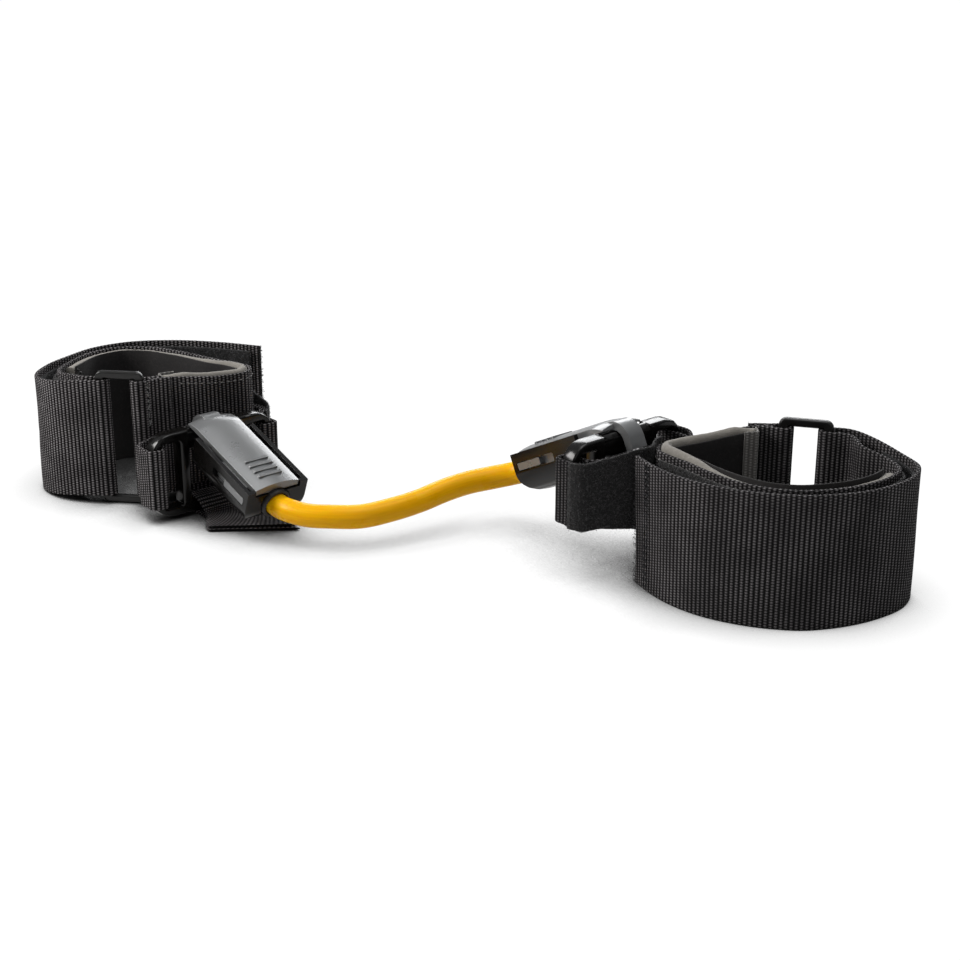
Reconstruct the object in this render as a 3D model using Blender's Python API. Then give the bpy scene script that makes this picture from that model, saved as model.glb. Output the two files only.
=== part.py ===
"""Lateral resistance trainer: two padded ankle cuffs joined by an elastic tube with a snap clip at each end.

Everything is in metres, +Z up, and stands on z = 0. Each cuff is one long webbing strap that goes round the
ankle, turns back round a bar of the ring and closes on itself with hook and loop. A slotted plate hangs on
the cuff by two keepers, and the snap clip on the end of the tube hooks over the plate's top rail.
"""
import math

import bmesh
import bpy
from mathutils import Matrix, Vector

# Clearance between pieces that touch on the real product, and how far a cutter goes past what it cuts.
GAP = 0.0003
PAST = 0.0010

# Webbing, foam and hook-and-loop tape of the cuffs.
STRAP_WIDTH = 0.0508
STRAP_THICK = 0.0016
FOAM_THICK = 0.0040
LINING_THICK = 0.0008
LOOP_THICK = 0.0012
HOOK_THICK = 0.0012
TAPE_INSET = 0.0024
LOOP_START_MARGIN = 0.0060
LOOP_END_MARGIN = 0.0220
HOOK_START = 0.0250
HOOK_END_MARGIN = 0.0040
BINDING_THICK = 0.0008
BINDING_LEG = 0.0060
PATCH_THICK = 0.0012
PATCH_HEIGHT_AT_PLATE = 0.0262
LEFT_PATCH_HEIGHT_AT_CUFF = 0.0440
RIGHT_PATCH_HEIGHT_AT_CUFF = 0.0345
PATCH_FLOOR = 0.0003
KEEPER_WIDTH = 0.0254
KEEPER_THICK = 0.0014
KEEPER_MERGE = 0.0100
KEEPER_HEM = 0.0010

# Ring that the strap runs through.
RING_LENGTH = 0.0208
RING_BAR = 0.0040
RING_THICK = 0.0032
RING_RAIL = 0.0032
RING_SLOT_CLEARANCE = 0.0004
RING_CORNER = 0.0030
RING_EDGE = 0.0008
RING_INNER_CORNER = 0.0003
RING_TAB_OUTER = 0.0130
RING_TAB_INNER = 0.0100
RING_TAB_MERGE = 0.0060
STRAP_START = 0.0042
LIFT_START = 0.0040
LIFT_RUN = 0.0380
RING_LEAD = 0.0081
TURN_RUN = 0.0100

# Slotted plate on the front of each cuff.
PLATE_WIDTH = 0.0600
PLATE_HEIGHT = 0.0360
PLATE_THICK = 0.0070
PLATE_CORNER = 0.0090
PLATE_EDGE = 0.0010
PLATE_END_BAR = 0.0048
PLATE_SLOT = 0.0086
PLATE_SLOT_CLEARANCE = 0.0012
PLATE_POST = 0.0045
PLATE_LOW_RAIL = 0.0050
RAIL_HEIGHT = 0.0092
RAIL_THICK = 0.0060

# Snap clip: x runs from the plate's rail to the tube, z is its upper side.
HOOK_WALL = 0.0034
HOOK_WIDTH = 0.0080
CORE_WIDTH = 0.0154
CAP_WIDTH = 0.0208
CAP_START = -0.0020
CAP_END = 0.0487
CAP_EDGE_TOP = 0.0076
CAP_CROWN = 0.0015
CAP_THICK = 0.0024
CAP_TAIL_DROP = 0.0018
CAP_TAIL_RUN = 0.0080
CAP_RIDGES = 4
CAP_RIDGE_PITCH = 0.0034
CAP_RIDGE_WIDTH = 0.0013
CAP_RIDGE_LENGTH = 0.0110
CAP_RIDGE_RISE = 0.0005
CAP_RIDGE_DEPTH = 0.0020
CAP_RIDGE_INSET = 0.0060
CAP_RIDGE_EDGE = 0.0004
CORE_FLOOR = 0.0004
CORE_DEPTH = 0.0057
CORE_EDGE = 0.0008
JOIN = 0.0020
SLEEVE_WIDTH = 0.0290
SLEEVE_WALL = 0.0020
SLEEVE_BOTTOM = 0.0098
SLEEVE_TOP = 0.0074
SLEEVE_ROUND = 0.0090
SLEEVE_NOSE_ROUND = 0.0085
SLEEVE_HEEL_ROUND = 0.0050
SLEEVE_START = 0.0096
SLEEVE_REAR_WALL = 0.0014
SLEEVE_END = 0.0495
SLEEVE_EDGE = 0.0006
GATE_THICK = 0.0024
GATE_WIDTH = 0.0120
GATE_EDGE = 0.0010
GATE_JOIN = 0.0016
GATE_REACH = 0.0050
LATCH_TRAVEL = 0.0080
LUG_START = 0.0330
LUG_END = 0.0468
LUG_HEIGHT = 0.0030
LUG_LEVEL = 0.0018
LUG_EDGE = 0.0006
BLOCK_START = 0.0250
BLOCK_END = 0.0430
SPRING_WIRE = 0.0009
SPRING_RADIUS = 0.0030
SPRING_TURNS = 5
SPRING_POINTS = 8

# Elastic tube, its flared ends, the plugs in them and the rubber collars round them.
TUBE_OUTER = 0.0096
TUBE_BORE = 0.0052
TUBE_DROP = 0.0006
TUBE_START = 0.0300
FLARE_OUTER = 0.0118
FLARE_BORE = 0.0072
FLARE_LENGTH = 0.0075
FLARE_TAPER = 0.0040
PLUG_HEAD = 0.0022
PLUG_NOSE = 0.0040
COLLAR_OUTER = 0.0132
COLLAR_END = 0.0508
TUBE_STEP = 0.0055

# Pull tab of the left cuff, folded round the low rail of its plate.
TAB_THICK = 0.0010
TAB_WIDTH = 0.0212
TAB_FLARE = 0.0290
TAB_LENGTH = 0.0470
TAB_SKEW = 0.0115
TAB_SWAY = 0.0036
TAB_HEM = 0.0012
TAB_BEND = 0.0090
TAB_FLOOR_GAP = 0.0001

# Where the pieces lie in plan.
LAYOUT_CENTRE = Vector((0.004924, -0.006590, 0.0))
PLATE_AZIMUTH = math.radians(67.5)
LEFT_PLATE = Vector((-0.0952, -0.0247))
LEFT_PLATE_BOTTOM = TAB_FLOOR_GAP + TAB_THICK + GAP
RIGHT_PLATE = Vector((0.0807, -0.0037))
RIGHT_PLATE_BOTTOM = 0.0175
LEFT_CLIP_PITCH = math.radians(21.0)
RIGHT_CLIP_PITCH = math.radians(26.0)
LEFT_RING = Vector((-0.1310, -0.0365))
LEFT_RING_AZIMUTH = math.radians(199.3)
RIGHT_RING = Vector((0.1440, 0.0257))
RIGHT_RING_AZIMUTH = math.radians(10.0)

# Line of the strap round the ankle, between the ring's two bars.
LEFT_ROUND = [
    (-0.1165, -0.0245), (-0.1085, -0.0130), (-0.1010, -0.0010), (-0.0972, 0.0070), (-0.0992, 0.0130),
    (-0.1070, 0.0162), (-0.1200, 0.0172), (-0.1400, 0.0205), (-0.1580, 0.0205), (-0.1710, 0.0135),
    (-0.1762, 0.0010), (-0.1752, -0.0130), (-0.1715, -0.0255), (-0.1640, -0.0335), (-0.1560, -0.0365),
]
RIGHT_ROUND = [
    (0.1260, 0.0210), (0.1160, 0.0140), (0.1070, 0.0060), (0.1005, -0.0008), (0.0974, -0.0075),
    (0.0990, -0.0134), (0.1048, -0.0175), (0.1130, -0.0215), (0.1230, -0.0275), (0.1350, -0.0330),
    (0.1470, -0.0350), (0.1590, -0.0325), (0.1690, -0.0260), (0.1780, -0.0160), (0.1840, -0.0040),
    (0.1845, 0.0060), (0.1780, 0.0130), (0.1680, 0.0175),
]

# Line of the strap's tail, from the ring to its free end.
LEFT_TAIL = [
    (-0.1600, -0.0455), (-0.1740, -0.0380), (-0.1808, -0.0220), (-0.1815, -0.0070), (-0.1800, 0.0080),
    (-0.1720, 0.0230), (-0.1570, 0.0340), (-0.1340, 0.0415), (-0.1140, 0.0440),
]
RIGHT_TAIL = [
    (0.1680, 0.0290), (0.1800, 0.0220), (0.1900, 0.0120), (0.1915, 0.0010), (0.1850, -0.0160),
    (0.1720, -0.0300), (0.1580, -0.0380), (0.1440, -0.0415), (0.1300, -0.0415), (0.1140, -0.0365),
    (0.1025, -0.0290), (0.0948, -0.0222),
]

# How far the free end of the right tail leans out at its top.
LEFT_LEAN = 0.0
RIGHT_LEAN = 0.0070
LEAN_RUN = 0.0600

# The pad's length as a share of the strap's way round the ankle.
LEFT_PAD_SHARE = 0.80
RIGHT_PAD_SHARE = 0.80

# Where each keeper is sewn to the strap, as distances along it, and its way there from the plate's end bar,
# as distances behind the plate and in from the bar towards the plate's middle.
LEFT_RING_SIDE = {"land": (0.0260, 0.0370), "via": [(0.0060, 0.0006), (0.0110, 0.0066), (0.0138, 0.0166)]}
LEFT_FREE_SIDE = {"land": (0.0640, 0.0760), "via": [(0.0062, -0.0003), (0.0105, -0.0044), (0.0152, -0.0094)]}
RIGHT_RING_SIDE = {"land": (0.0370, 0.0435), "via": [(0.0060, 0.0001), (0.0125, 0.0031)]}
RIGHT_FREE_SIDE = {"land": (0.0555, 0.0490), "via": [(0.0055, 0.0002), (0.0100, 0.0076), (0.0138, 0.0186)]}

# Route of the tube between the two clips.
TUBE_ROUTE = [
    (-0.0430, -0.0458, 0.0136), (-0.0370, -0.0458, 0.0131), (-0.0260, -0.0430, 0.0132),
    (-0.0160, -0.0372, 0.0130), (-0.0080, -0.0278, 0.0138), (-0.0010, -0.0162, 0.0149),
    (0.0050, -0.0052, 0.0168), (0.0112, 0.0046, 0.0180), (0.0182, 0.0120, 0.0188), (0.0260, 0.0160, 0.0206),
]

# Base colour, roughness and metallic value of each material.
LOOKS = {
    "black_webbing": ((0.010, 0.010, 0.011), 0.75, 0.0),
    "gray_foam": ((0.230, 0.225, 0.215), 0.90, 0.0),
    "pad_lining": ((0.020, 0.020, 0.022), 0.85, 0.0),
    "gray_binding": ((0.160, 0.160, 0.158), 0.80, 0.0),
    "loop_fabric": ((0.014, 0.014, 0.015), 0.95, 0.0),
    "hook_fabric": ((0.016, 0.016, 0.017), 0.80, 0.0),
    "black_plastic": ((0.012, 0.012, 0.013), 0.35, 0.0),
    "gray_plastic": ((0.330, 0.340, 0.345), 0.40, 0.0),
    "black_rubber": ((0.015, 0.015, 0.015), 0.60, 0.0),
    "spring_steel": ((0.550, 0.550, 0.560), 0.30, 1.0),
    "amber_latex": ((0.700, 0.350, 0.012), 0.35, 0.0),
    "plug_plastic": ((0.600, 0.600, 0.580), 0.45, 0.0),
}


def material(slot):
    """The material of that name, made at its first use."""
    found = bpy.data.materials.get(slot)
    if found is None:
        colour, rough, metal = LOOKS[slot]
        found = bpy.data.materials.new(slot)
        found.use_nodes = True
        shader = found.node_tree.nodes["Principled BSDF"]
        shader.inputs["Base Color"].default_value = (*colour, 1.0)
        shader.inputs["Roughness"].default_value = rough
        shader.inputs["Metallic"].default_value = metal
        found.diffuse_color = (*colour, 1.0)
    return found


def new_object(name, mesh, slot=None, parent=None):
    """An object in the scene, under its parent, with one material."""
    made = bpy.data.objects.new(name, mesh)
    bpy.context.scene.collection.objects.link(made)
    made.parent = parent
    if slot:
        own = material(slot).copy()
        own.name = f"{name}_{slot}"
        mesh.materials.append(own)
        mesh.shade_smooth()
        mesh.set_sharp_from_angle(angle=math.radians(35))
    return made


def finished_mesh(name, shape):
    """A mesh from a bmesh whose faces all point out."""
    bmesh.ops.recalc_face_normals(shape, faces=shape.faces)
    mesh = bpy.data.meshes.new(name)
    shape.to_mesh(mesh)
    shape.free()
    return mesh


def loft(name, rings, closed=False):
    """A closed solid through rings of as many points each, capped at its ends unless it closes on itself."""
    shape = bmesh.new()
    loops = [[shape.verts.new(point) for point in ring] for ring in rings]
    pairs = list(zip(loops, loops[1:]))
    if closed:
        pairs.append((loops[-1], loops[0]))
    for first, second in pairs:
        for index in range(len(first)):
            following = (index + 1) % len(first)
            shape.faces.new((first[index], first[following], second[following], second[index]))
    if not closed:
        shape.faces.new(loops[0])
        shape.faces.new(list(reversed(loops[-1])))
    return finished_mesh(name, shape)


def rounded_outline(corners, turn=18.0):
    """The outline through corners given as (u, v, radius), each radius drawn as an arc."""
    outline = []
    count = len(corners)
    for index, (u, v, radius) in enumerate(corners):
        here = Vector((u, v))
        before = (Vector(corners[index - 1][:2]) - here).normalized()
        after = (Vector(corners[(index + 1) % count][:2]) - here).normalized()
        if radius <= 0.0:
            outline.append(here)
            continue
        half = before.angle(after) / 2.0
        centre = here + (before + after).normalized() * radius / math.sin(half)
        start = here + before * radius / math.tan(half) - centre
        sweep = start.angle_signed(here + after * radius / math.tan(half) - centre)
        steps = max(2, round(abs(math.degrees(sweep)) / turn))
        for step in range(steps + 1):
            angle = -sweep * step / steps
            outline.append(centre + Matrix.Rotation(angle, 2) @ start)
    return outline


def rounded_box_outline(width, height, radius, centre=(0.0, 0.0)):
    """A rectangle's outline with four round corners."""
    u, v = centre
    return rounded_outline([
        (u - width / 2, v - height / 2, radius),
        (u + width / 2, v - height / 2, radius),
        (u + width / 2, v + height / 2, radius),
        (u - width / 2, v + height / 2, radius),
    ])


def prism(name, outline, low, high, plane):
    """A mesh of an outline pushed from low to high, square to its plane."""
    places = {
        "yz": lambda u, v, w: (w, u, v),
        "xz": lambda u, v, w: (u, w, v),
        "xy": lambda u, v, w: (u, v, w),
    }
    place = places[plane]
    return loft(name, [[place(u, v, w) for u, v in outline] for w in (low, high)])


def slab(name, outline_at, thick, edge):
    """An upright slab with chamfered edges, whose outline is a function of its inset."""
    half = thick / 2
    layers = [(edge, -half), (0.0, -half + edge), (0.0, half - edge), (edge, half)]
    return loft(name, [[(u, v, w) for u, w in outline_at(inset)] for inset, v in layers])


def slab_hole(name, outline_at, thick, edge):
    """A cutter for a hole with chamfered edges through such a slab."""
    half = thick / 2
    over = thick * 0.2
    wide = -edge - over
    layers = [(wide, -half - over), (0.0, -half + edge), (0.0, half - edge), (wide, half + over)]
    return loft(name, [[(u, v, w) for u, w in outline_at(inset)] for inset, v in layers])


def box_outline_at(width, height, radius, centre):
    """A rounded rectangle's outline as a function of its inset."""
    return lambda inset: rounded_box_outline(width - 2 * inset, height - 2 * inset, radius - inset, centre)


def turned(name, profile, sides=20):
    """A mesh turned about the x axis from a closed profile of (x, radius) points."""
    rings = []
    for side in range(sides):
        angle = 2 * math.pi * side / sides
        rings.append([(x, radius * math.cos(angle), radius * math.sin(angle)) for x, radius in profile])
    return loft(name, rings, closed=True)


def spun(name, profile, sides=20):
    """A solid mesh turned about the x axis from (x, radius) points that start and end on the axis."""
    shape = bmesh.new()
    tips = [shape.verts.new((profile[0][0], 0.0, 0.0)), shape.verts.new((profile[-1][0], 0.0, 0.0))]
    rings = []
    for x, radius in profile[1:-1]:
        angles = [2 * math.pi * side / sides for side in range(sides)]
        rings.append([shape.verts.new((x, radius * math.cos(a), radius * math.sin(a))) for a in angles])
    for side in range(sides):
        following = (side + 1) % sides
        shape.faces.new((tips[0], rings[0][side], rings[0][following]))
        shape.faces.new((tips[1], rings[-1][side], rings[-1][following]))
        for first, second in zip(rings, rings[1:]):
            shape.faces.new((first[side], first[following], second[following], second[side]))
    return finished_mesh(name, shape)


def combine(target, mesh, operation):
    """Add or cut away a mesh that stays in the scene as a hidden guide."""
    guide = new_object(f"{mesh.name}_guide", mesh, parent=target.parent)
    guide.matrix_basis = target.matrix_basis.copy()
    guide.hide_render = True
    guide.display_type = "WIRE"
    modifier = target.modifiers.new(mesh.name, "BOOLEAN")
    modifier.operation = operation
    modifier.solver = "EXACT"
    modifier.object = guide


def soften(target, width, segments=2):
    """Round the edges of a moulded piece."""
    modifier = target.modifiers.new("edges", "BEVEL")
    modifier.width = width
    modifier.segments = segments
    modifier.limit_method = "ANGLE"
    modifier.angle_limit = math.radians(50)
    modifier.use_clamp_overlap = True


def ease(share):
    """A smooth step from 0 to 1."""
    share = min(1.0, max(0.0, share))
    return share * share * (3.0 - 2.0 * share)


def smooth_line(points, spans=14):
    """Close points on a smooth curve through hand-chosen ones."""
    points = [Vector(point) for point in points]
    marks = [0.0]
    for first, second in zip(points, points[1:]):
        marks.append(marks[-1] + (second - first).length)
    runs = zip(points, points[1:], marks, marks[1:])
    slopes = [(second - first) / (b - a) for first, second, a, b in runs]
    tangents = [slopes[0]]
    for index in range(1, len(points) - 1):
        before = marks[index] - marks[index - 1]
        after = marks[index + 1] - marks[index]
        tangents.append((slopes[index - 1] * after + slopes[index] * before) / (before + after))
    tangents.append(slopes[-1])
    line = []
    for index in range(len(points) - 1):
        run = marks[index + 1] - marks[index]
        for step in range(spans):
            t = step / spans
            line.append(
                points[index] * (2 * t**3 - 3 * t**2 + 1) + tangents[index] * run * (t**3 - 2 * t**2 + t)
                + points[index + 1] * (3 * t**2 - 2 * t**3) + tangents[index + 1] * run * (t**3 - t**2)
            )
    line.append(points[-1])
    return line


def outward(direction):
    """The side of a plan direction that faces out of a cuff whose strap runs counterclockwise."""
    return Vector((direction.y, -direction.x))


class Route:
    """A line in plan that can be walked by distance."""

    def __init__(self, line):
        self.line = line
        self.marks = [0.0]
        for first, second in zip(line, line[1:]):
            self.marks.append(self.marks[-1] + (second - first).length)
        self.length = self.marks[-1]

    def place(self, distance):
        """The point and the direction at a distance, straight on past either end."""
        index = 0
        while index < len(self.line) - 2 and self.marks[index + 1] < distance:
            index += 1
        step = (self.line[index + 1] - self.line[index]).normalized()
        here = self.line[index] + step * (distance - self.marks[index])
        near = max(0, index - 1)
        far = min(len(self.line) - 1, index + 2)
        return here, (self.line[far] - self.line[near]).normalized()

    def walk(self, start, end, longest=0.0065, turn=14.0):
        """Distances from start to end, closer together where the line bends."""
        stops = [start]
        fine = 0.0004
        count = max(2, int((end - start) / fine))
        last = self.place(start)[1]
        for step in range(1, count):
            here = start + (end - start) * step / count
            direction = self.place(here)[1]
            bent = math.degrees(last.angle(direction, 0.0)) > turn
            if (bent or here - stops[-1] > longest) and end - here > fine * 2:
                stops.append(here)
                last = direction
        stops.append(end)
        return stops

    def nearest(self, point):
        """The distance along the line of its point that lies closest."""
        index = min(range(len(self.line)), key=lambda item: (self.line[item] - point).length)
        return self.marks[index]


def upright_ring(point, side, offset, thick, low, height, lean=0.0, soft=0.0):
    """The section of an upright band: a rectangle, or one with chamfered edges where it is soft."""
    inner = offset - thick / 2
    outer = offset + thick / 2
    if soft:
        outline = [
            (inner + soft, 0.0), (outer - soft, 0.0), (outer, soft), (outer, height - soft),
            (outer - soft, height), (inner + soft, height), (inner, height - soft), (inner, soft),
        ]
    else:
        outline = [(inner, 0.0), (outer, 0.0), (outer, height), (inner, height)]
    ring = []
    for across, up in outline:
        spot = point + side * (across + lean * up / height)
        ring.append((spot.x, spot.y, low + up))
    return ring


def band(name, route, stops, offset, thick, low, height, lean=None, soft=0.0):
    """An upright band along a route, with its foot, height and lean given by functions of the distance."""
    rings = []
    for stop in stops:
        point, direction = route.place(stop)
        side = outward(direction)
        tilt = lean(stop) if lean else 0.0
        rings.append(upright_ring(point, side, offset, thick, low(stop), height(stop), tilt, soft))
    return loft(name, rings)


def folded_line(route, half_turn, apex, corner, half_joined, merge, outer_end, inner_end):
    """The line of a band folded round a bar at the route's start, its legs joining as they leave it."""
    def leg(end, sign):
        points = []
        for stop in route.walk(0.0, end, longest=0.0045, turn=12.0):
            point, direction = route.place(stop)
            half = half_turn + (half_joined - half_turn) * ease((stop - merge[0]) / (merge[1] - merge[0]))
            points.append(point + outward(direction) * half * sign)
        return points
    start, direction = route.place(0.0)
    side = outward(direction)
    bend = []
    for sign in (1.0, -1.0):
        quarter = []
        for step in range(5):
            angle = math.pi / 2 * step / 4
            across = half_turn - corner + corner * math.cos(angle)
            ahead = apex - corner + corner * math.sin(angle)
            quarter.append(start + side * across * sign - direction * ahead)
        bend += quarter if sign > 0 else list(reversed(quarter))
    if corner > half_turn - 0.0001:
        bend.pop(5)
    return Route(list(reversed(leg(outer_end, 1.0))) + bend + leg(inner_end, -1.0))


def line_rings(route, thick, low, height):
    """Sections of a band at each corner of its line."""
    rings = []
    count = len(route.line)
    for index in range(count):
        before = route.line[index] - route.line[max(0, index - 1)]
        after = route.line[min(count - 1, index + 1)] - route.line[index]
        before = before.normalized() if before.length else after.normalized()
        after = after.normalized() if after.length else before
        direction = (before + after).normalized()
        widen = 1.0 / max(0.7, direction.dot(before))
        rings.append(upright_ring(route.line[index], outward(direction), 0.0, thick * widen, low, height))
    return rings


def empty(name, parent, matrix):
    """A joint's own frame, to which its pieces are parented."""
    made = bpy.data.objects.new(name, None)
    made.empty_display_size = 0.01
    bpy.context.scene.collection.objects.link(made)
    made.parent = parent
    made.matrix_basis = matrix
    return made


class Cuff:
    """One ankle cuff: strap, pad, tapes, ring, plate and keepers."""

    def __init__(self, side, root, layout):
        self.side = side
        self.layout = layout
        self.root = root
        along = Vector((math.cos(PLATE_AZIMUTH), math.sin(PLATE_AZIMUTH)))
        self.flip = 1.0 if side == "left" else -1.0
        self.along = along
        self.back = Vector((-along.y, along.x)) * self.flip
        self.plate = layout["plate"]
        self.bottom = layout["plate_bottom"]
        self.set_ring()
        self.set_lines()

    def piece(self, part, mesh, slot):
        """A piece of this cuff, whose mesh is in plan coordinates."""
        made = new_object(f"{self.side}_{part}", mesh, slot, self.root)
        made.matrix_parent_inverse = self.root.matrix_basis.inverted()
        return made

    def set_ring(self):
        """The ring's bars, and how far the strap stands from a bar's centre as it turns round it."""
        azimuth = self.layout["ring_azimuth"]
        self.ring_along = Vector((math.cos(azimuth), math.sin(azimuth)))
        self.ring_out = Vector((-self.ring_along.y, self.ring_along.x))
        reach = (RING_LENGTH - RING_BAR) / 2
        self.first_bar = self.layout["ring"] - self.ring_along * reach
        self.second_bar = self.layout["ring"] + self.ring_along * reach
        self.turn = max(RING_BAR, RING_THICK) / 2 + GAP + STRAP_THICK / 2
        self.lift = RING_RAIL + RING_SLOT_CLEARANCE

    def set_lines(self):
        """The strap's line round the ankle, and its tail's line kept clear of what lies under it."""
        away = self.ring_along * RING_LEAD
        inside = self.second_bar - self.ring_out * self.turn
        outside = self.second_bar + self.ring_out * self.turn
        round_points = [self.first_bar] + [Vector(point) for point in self.layout["round"]]
        round_points += [inside + away, inside]
        self.round = Route(smooth_line(round_points))
        tail_points = [outside, outside + away] + [Vector(point) for point in self.layout["tail"]]
        line = smooth_line(tail_points)
        self.layered = STRAP_THICK + GAP + LOOP_THICK + GAP + HOOK_THICK + GAP
        self.landed = STRAP_THICK / 2 + GAP + KEEPER_THICK + GAP / 2
        kept = []
        for point in line:
            stop = self.round.nearest(point)
            foot, direction = self.round.place(stop)
            away_from = point - foot
            past_turn = ease((point - outside).length / TURN_RUN)
            if away_from.length < self.layered and away_from.dot(outward(direction)) > 0:
                wanted = foot + away_from.normalized() * self.layered
                point = point + (wanted - point) * past_turn
            kept.append(point)
        self.tail = Route(kept)

    def round_foot(self, stop):
        """Height of the strap's lower edge on its way round."""
        near = min(stop, self.round.length - stop)
        return self.lift * (1.0 - ease((near - LIFT_START) / LIFT_RUN))

    def tail_foot(self, stop):
        """Height of the tail's lower edge."""
        return self.lift * (1.0 - ease((stop - LIFT_START) / LIFT_RUN))

    def tail_lean(self, stop):
        """How far the tail's top edge leans out."""
        return self.layout["lean"] * ease(1.0 - (self.tail.length - stop) / LEAN_RUN)

    def strap(self):
        """The main webbing: round the ankle, round the ring's second bar and back as the tail."""
        rings = []
        for stop in self.round.walk(STRAP_START, self.round.length):
            point, direction = self.round.place(stop)
            side = outward(direction)
            rings.append(upright_ring(point, side, 0.0, STRAP_THICK, self.round_foot(stop), STRAP_WIDTH))
        turns = 8
        for step in range(1, turns):
            angle = math.pi * step / turns
            across = -self.ring_out * math.cos(angle) - self.ring_along * math.sin(angle)
            section = upright_ring(self.second_bar, -across, -self.turn, STRAP_THICK, self.lift, STRAP_WIDTH)
            rings.append(section)
        for stop in self.tail.walk(0.0, self.tail.length):
            point, direction = self.tail.place(stop)
            lean = -self.tail_lean(stop)
            side = outward(direction)
            foot = self.tail_foot(stop)
            rings.append(upright_ring(point, side, 0.0, STRAP_THICK, foot, STRAP_WIDTH, lean))
        return self.piece("strap", loft("strap", rings), "black_webbing")

    def pad(self):
        """Foam and lining on the inside of the strap, and the binding round the pad's end by the ring."""
        start = RING_TAB_INNER + GAP * 2 + BINDING_THICK
        end = self.round.length * self.layout["pad_share"]
        stops = self.round.walk(start, end)
        foam = -(STRAP_THICK / 2 + GAP + FOAM_THICK / 2)
        lining = foam - FOAM_THICK / 2 - GAP - LINING_THICK / 2

        def width(stop):
            return STRAP_WIDTH

        soft = FOAM_THICK / 4
        mesh = band("foam", self.round, stops, foam, FOAM_THICK, self.round_foot, width, soft=soft)
        self.piece("pad_foam", mesh, "gray_foam")
        mesh = band("lining", self.round, stops, lining, LINING_THICK, self.round_foot, width)
        self.piece("pad_lining", mesh, "pad_lining")
        binding = lining - LINING_THICK / 2 - GAP - BINDING_THICK / 2
        corner = start - GAP - BINDING_THICK / 2
        spots = []
        face = -STRAP_THICK / 2 - GAP
        for stop, offset in ((corner, face), (corner, binding), (start + BINDING_LEG, binding)):
            point, direction = self.round.place(stop)
            spots.append(point + outward(direction) * offset)
        low = self.round_foot(start)
        mesh = loft("binding", line_rings(Route(spots), BINDING_THICK, low, STRAP_WIDTH))
        self.piece("pad_binding", mesh, "gray_binding")

    def tapes(self):
        """Loop tape on the outside of the round and hook tape on the inside of the tail."""
        height = STRAP_WIDTH - TAPE_INSET * 2
        start = max(self.layout["free_side"]["land"]) + LOOP_START_MARGIN
        end = self.round.length - LOOP_END_MARGIN
        offset = STRAP_THICK / 2 + GAP + LOOP_THICK / 2
        stops = self.round.walk(start, end)
        mesh = band(
            "loop", self.round, stops, offset, LOOP_THICK,
            lambda stop: self.round_foot(stop) + TAPE_INSET, lambda stop: height,
        )
        self.piece("loop_fabric", mesh, "loop_fabric")
        offset = STRAP_THICK / 2 + GAP + HOOK_THICK / 2
        stops = self.tail.walk(HOOK_START, self.tail.length - HOOK_END_MARGIN)
        mesh = band(
            "hook", self.tail, stops, offset, HOOK_THICK,
            lambda stop: self.tail_foot(stop) + TAPE_INSET, lambda stop: height,
            lean=lambda stop: -self.tail_lean(stop) * height / STRAP_WIDTH,
        )
        self.piece("hook_fabric", mesh, "hook_fabric")

    def ring(self):
        """The rectangular ring that stands on edge between the strap's two ends."""
        opening = STRAP_WIDTH + RING_SLOT_CLEARANCE * 2
        height = opening + RING_RAIL * 2
        middle = (0.0, height / 2)
        outer = rounded_box_outline(RING_LENGTH, height, RING_CORNER, middle)
        inner = rounded_box_outline(RING_LENGTH - RING_BAR * 2, opening, RING_INNER_CORNER, middle)
        half = RING_THICK / 2
        rings = []
        for near, far in zip(inner, outer):
            step = (far - near).normalized() * RING_EDGE
            flat = half - RING_EDGE
            section = [(near + step, half), (far - step, half), (far, flat), (far, -flat)]
            section += [(far - step, -half), (near + step, -half), (near, -flat), (near, flat)]
            rings.append([(spot.x, across, spot.y) for spot, across in section])
        made = new_object(f"{self.side}_ring", loft("ring", rings, closed=True), "black_plastic", self.root)
        spot = Matrix.Translation((*self.layout["ring"], 0.0))
        spin = Matrix.Rotation(self.layout["ring_azimuth"], 4, "Z")
        made.matrix_basis = self.root.matrix_basis.inverted() @ spot @ spin

    def ring_webbing(self):
        """Short webbing that ties the ring's first bar to the strap's fixed end."""
        half_joined = STRAP_THICK + GAP
        line = folded_line(
            self.round, self.turn, self.turn, self.turn, half_joined, (0.0, RING_TAB_MERGE),
            RING_TAB_OUTER, RING_TAB_INNER,
        )
        mesh = loft("ring_webbing", line_rings(line, STRAP_THICK, self.lift, STRAP_WIDTH))
        self.piece("ring_webbing", mesh, "black_webbing")

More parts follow.
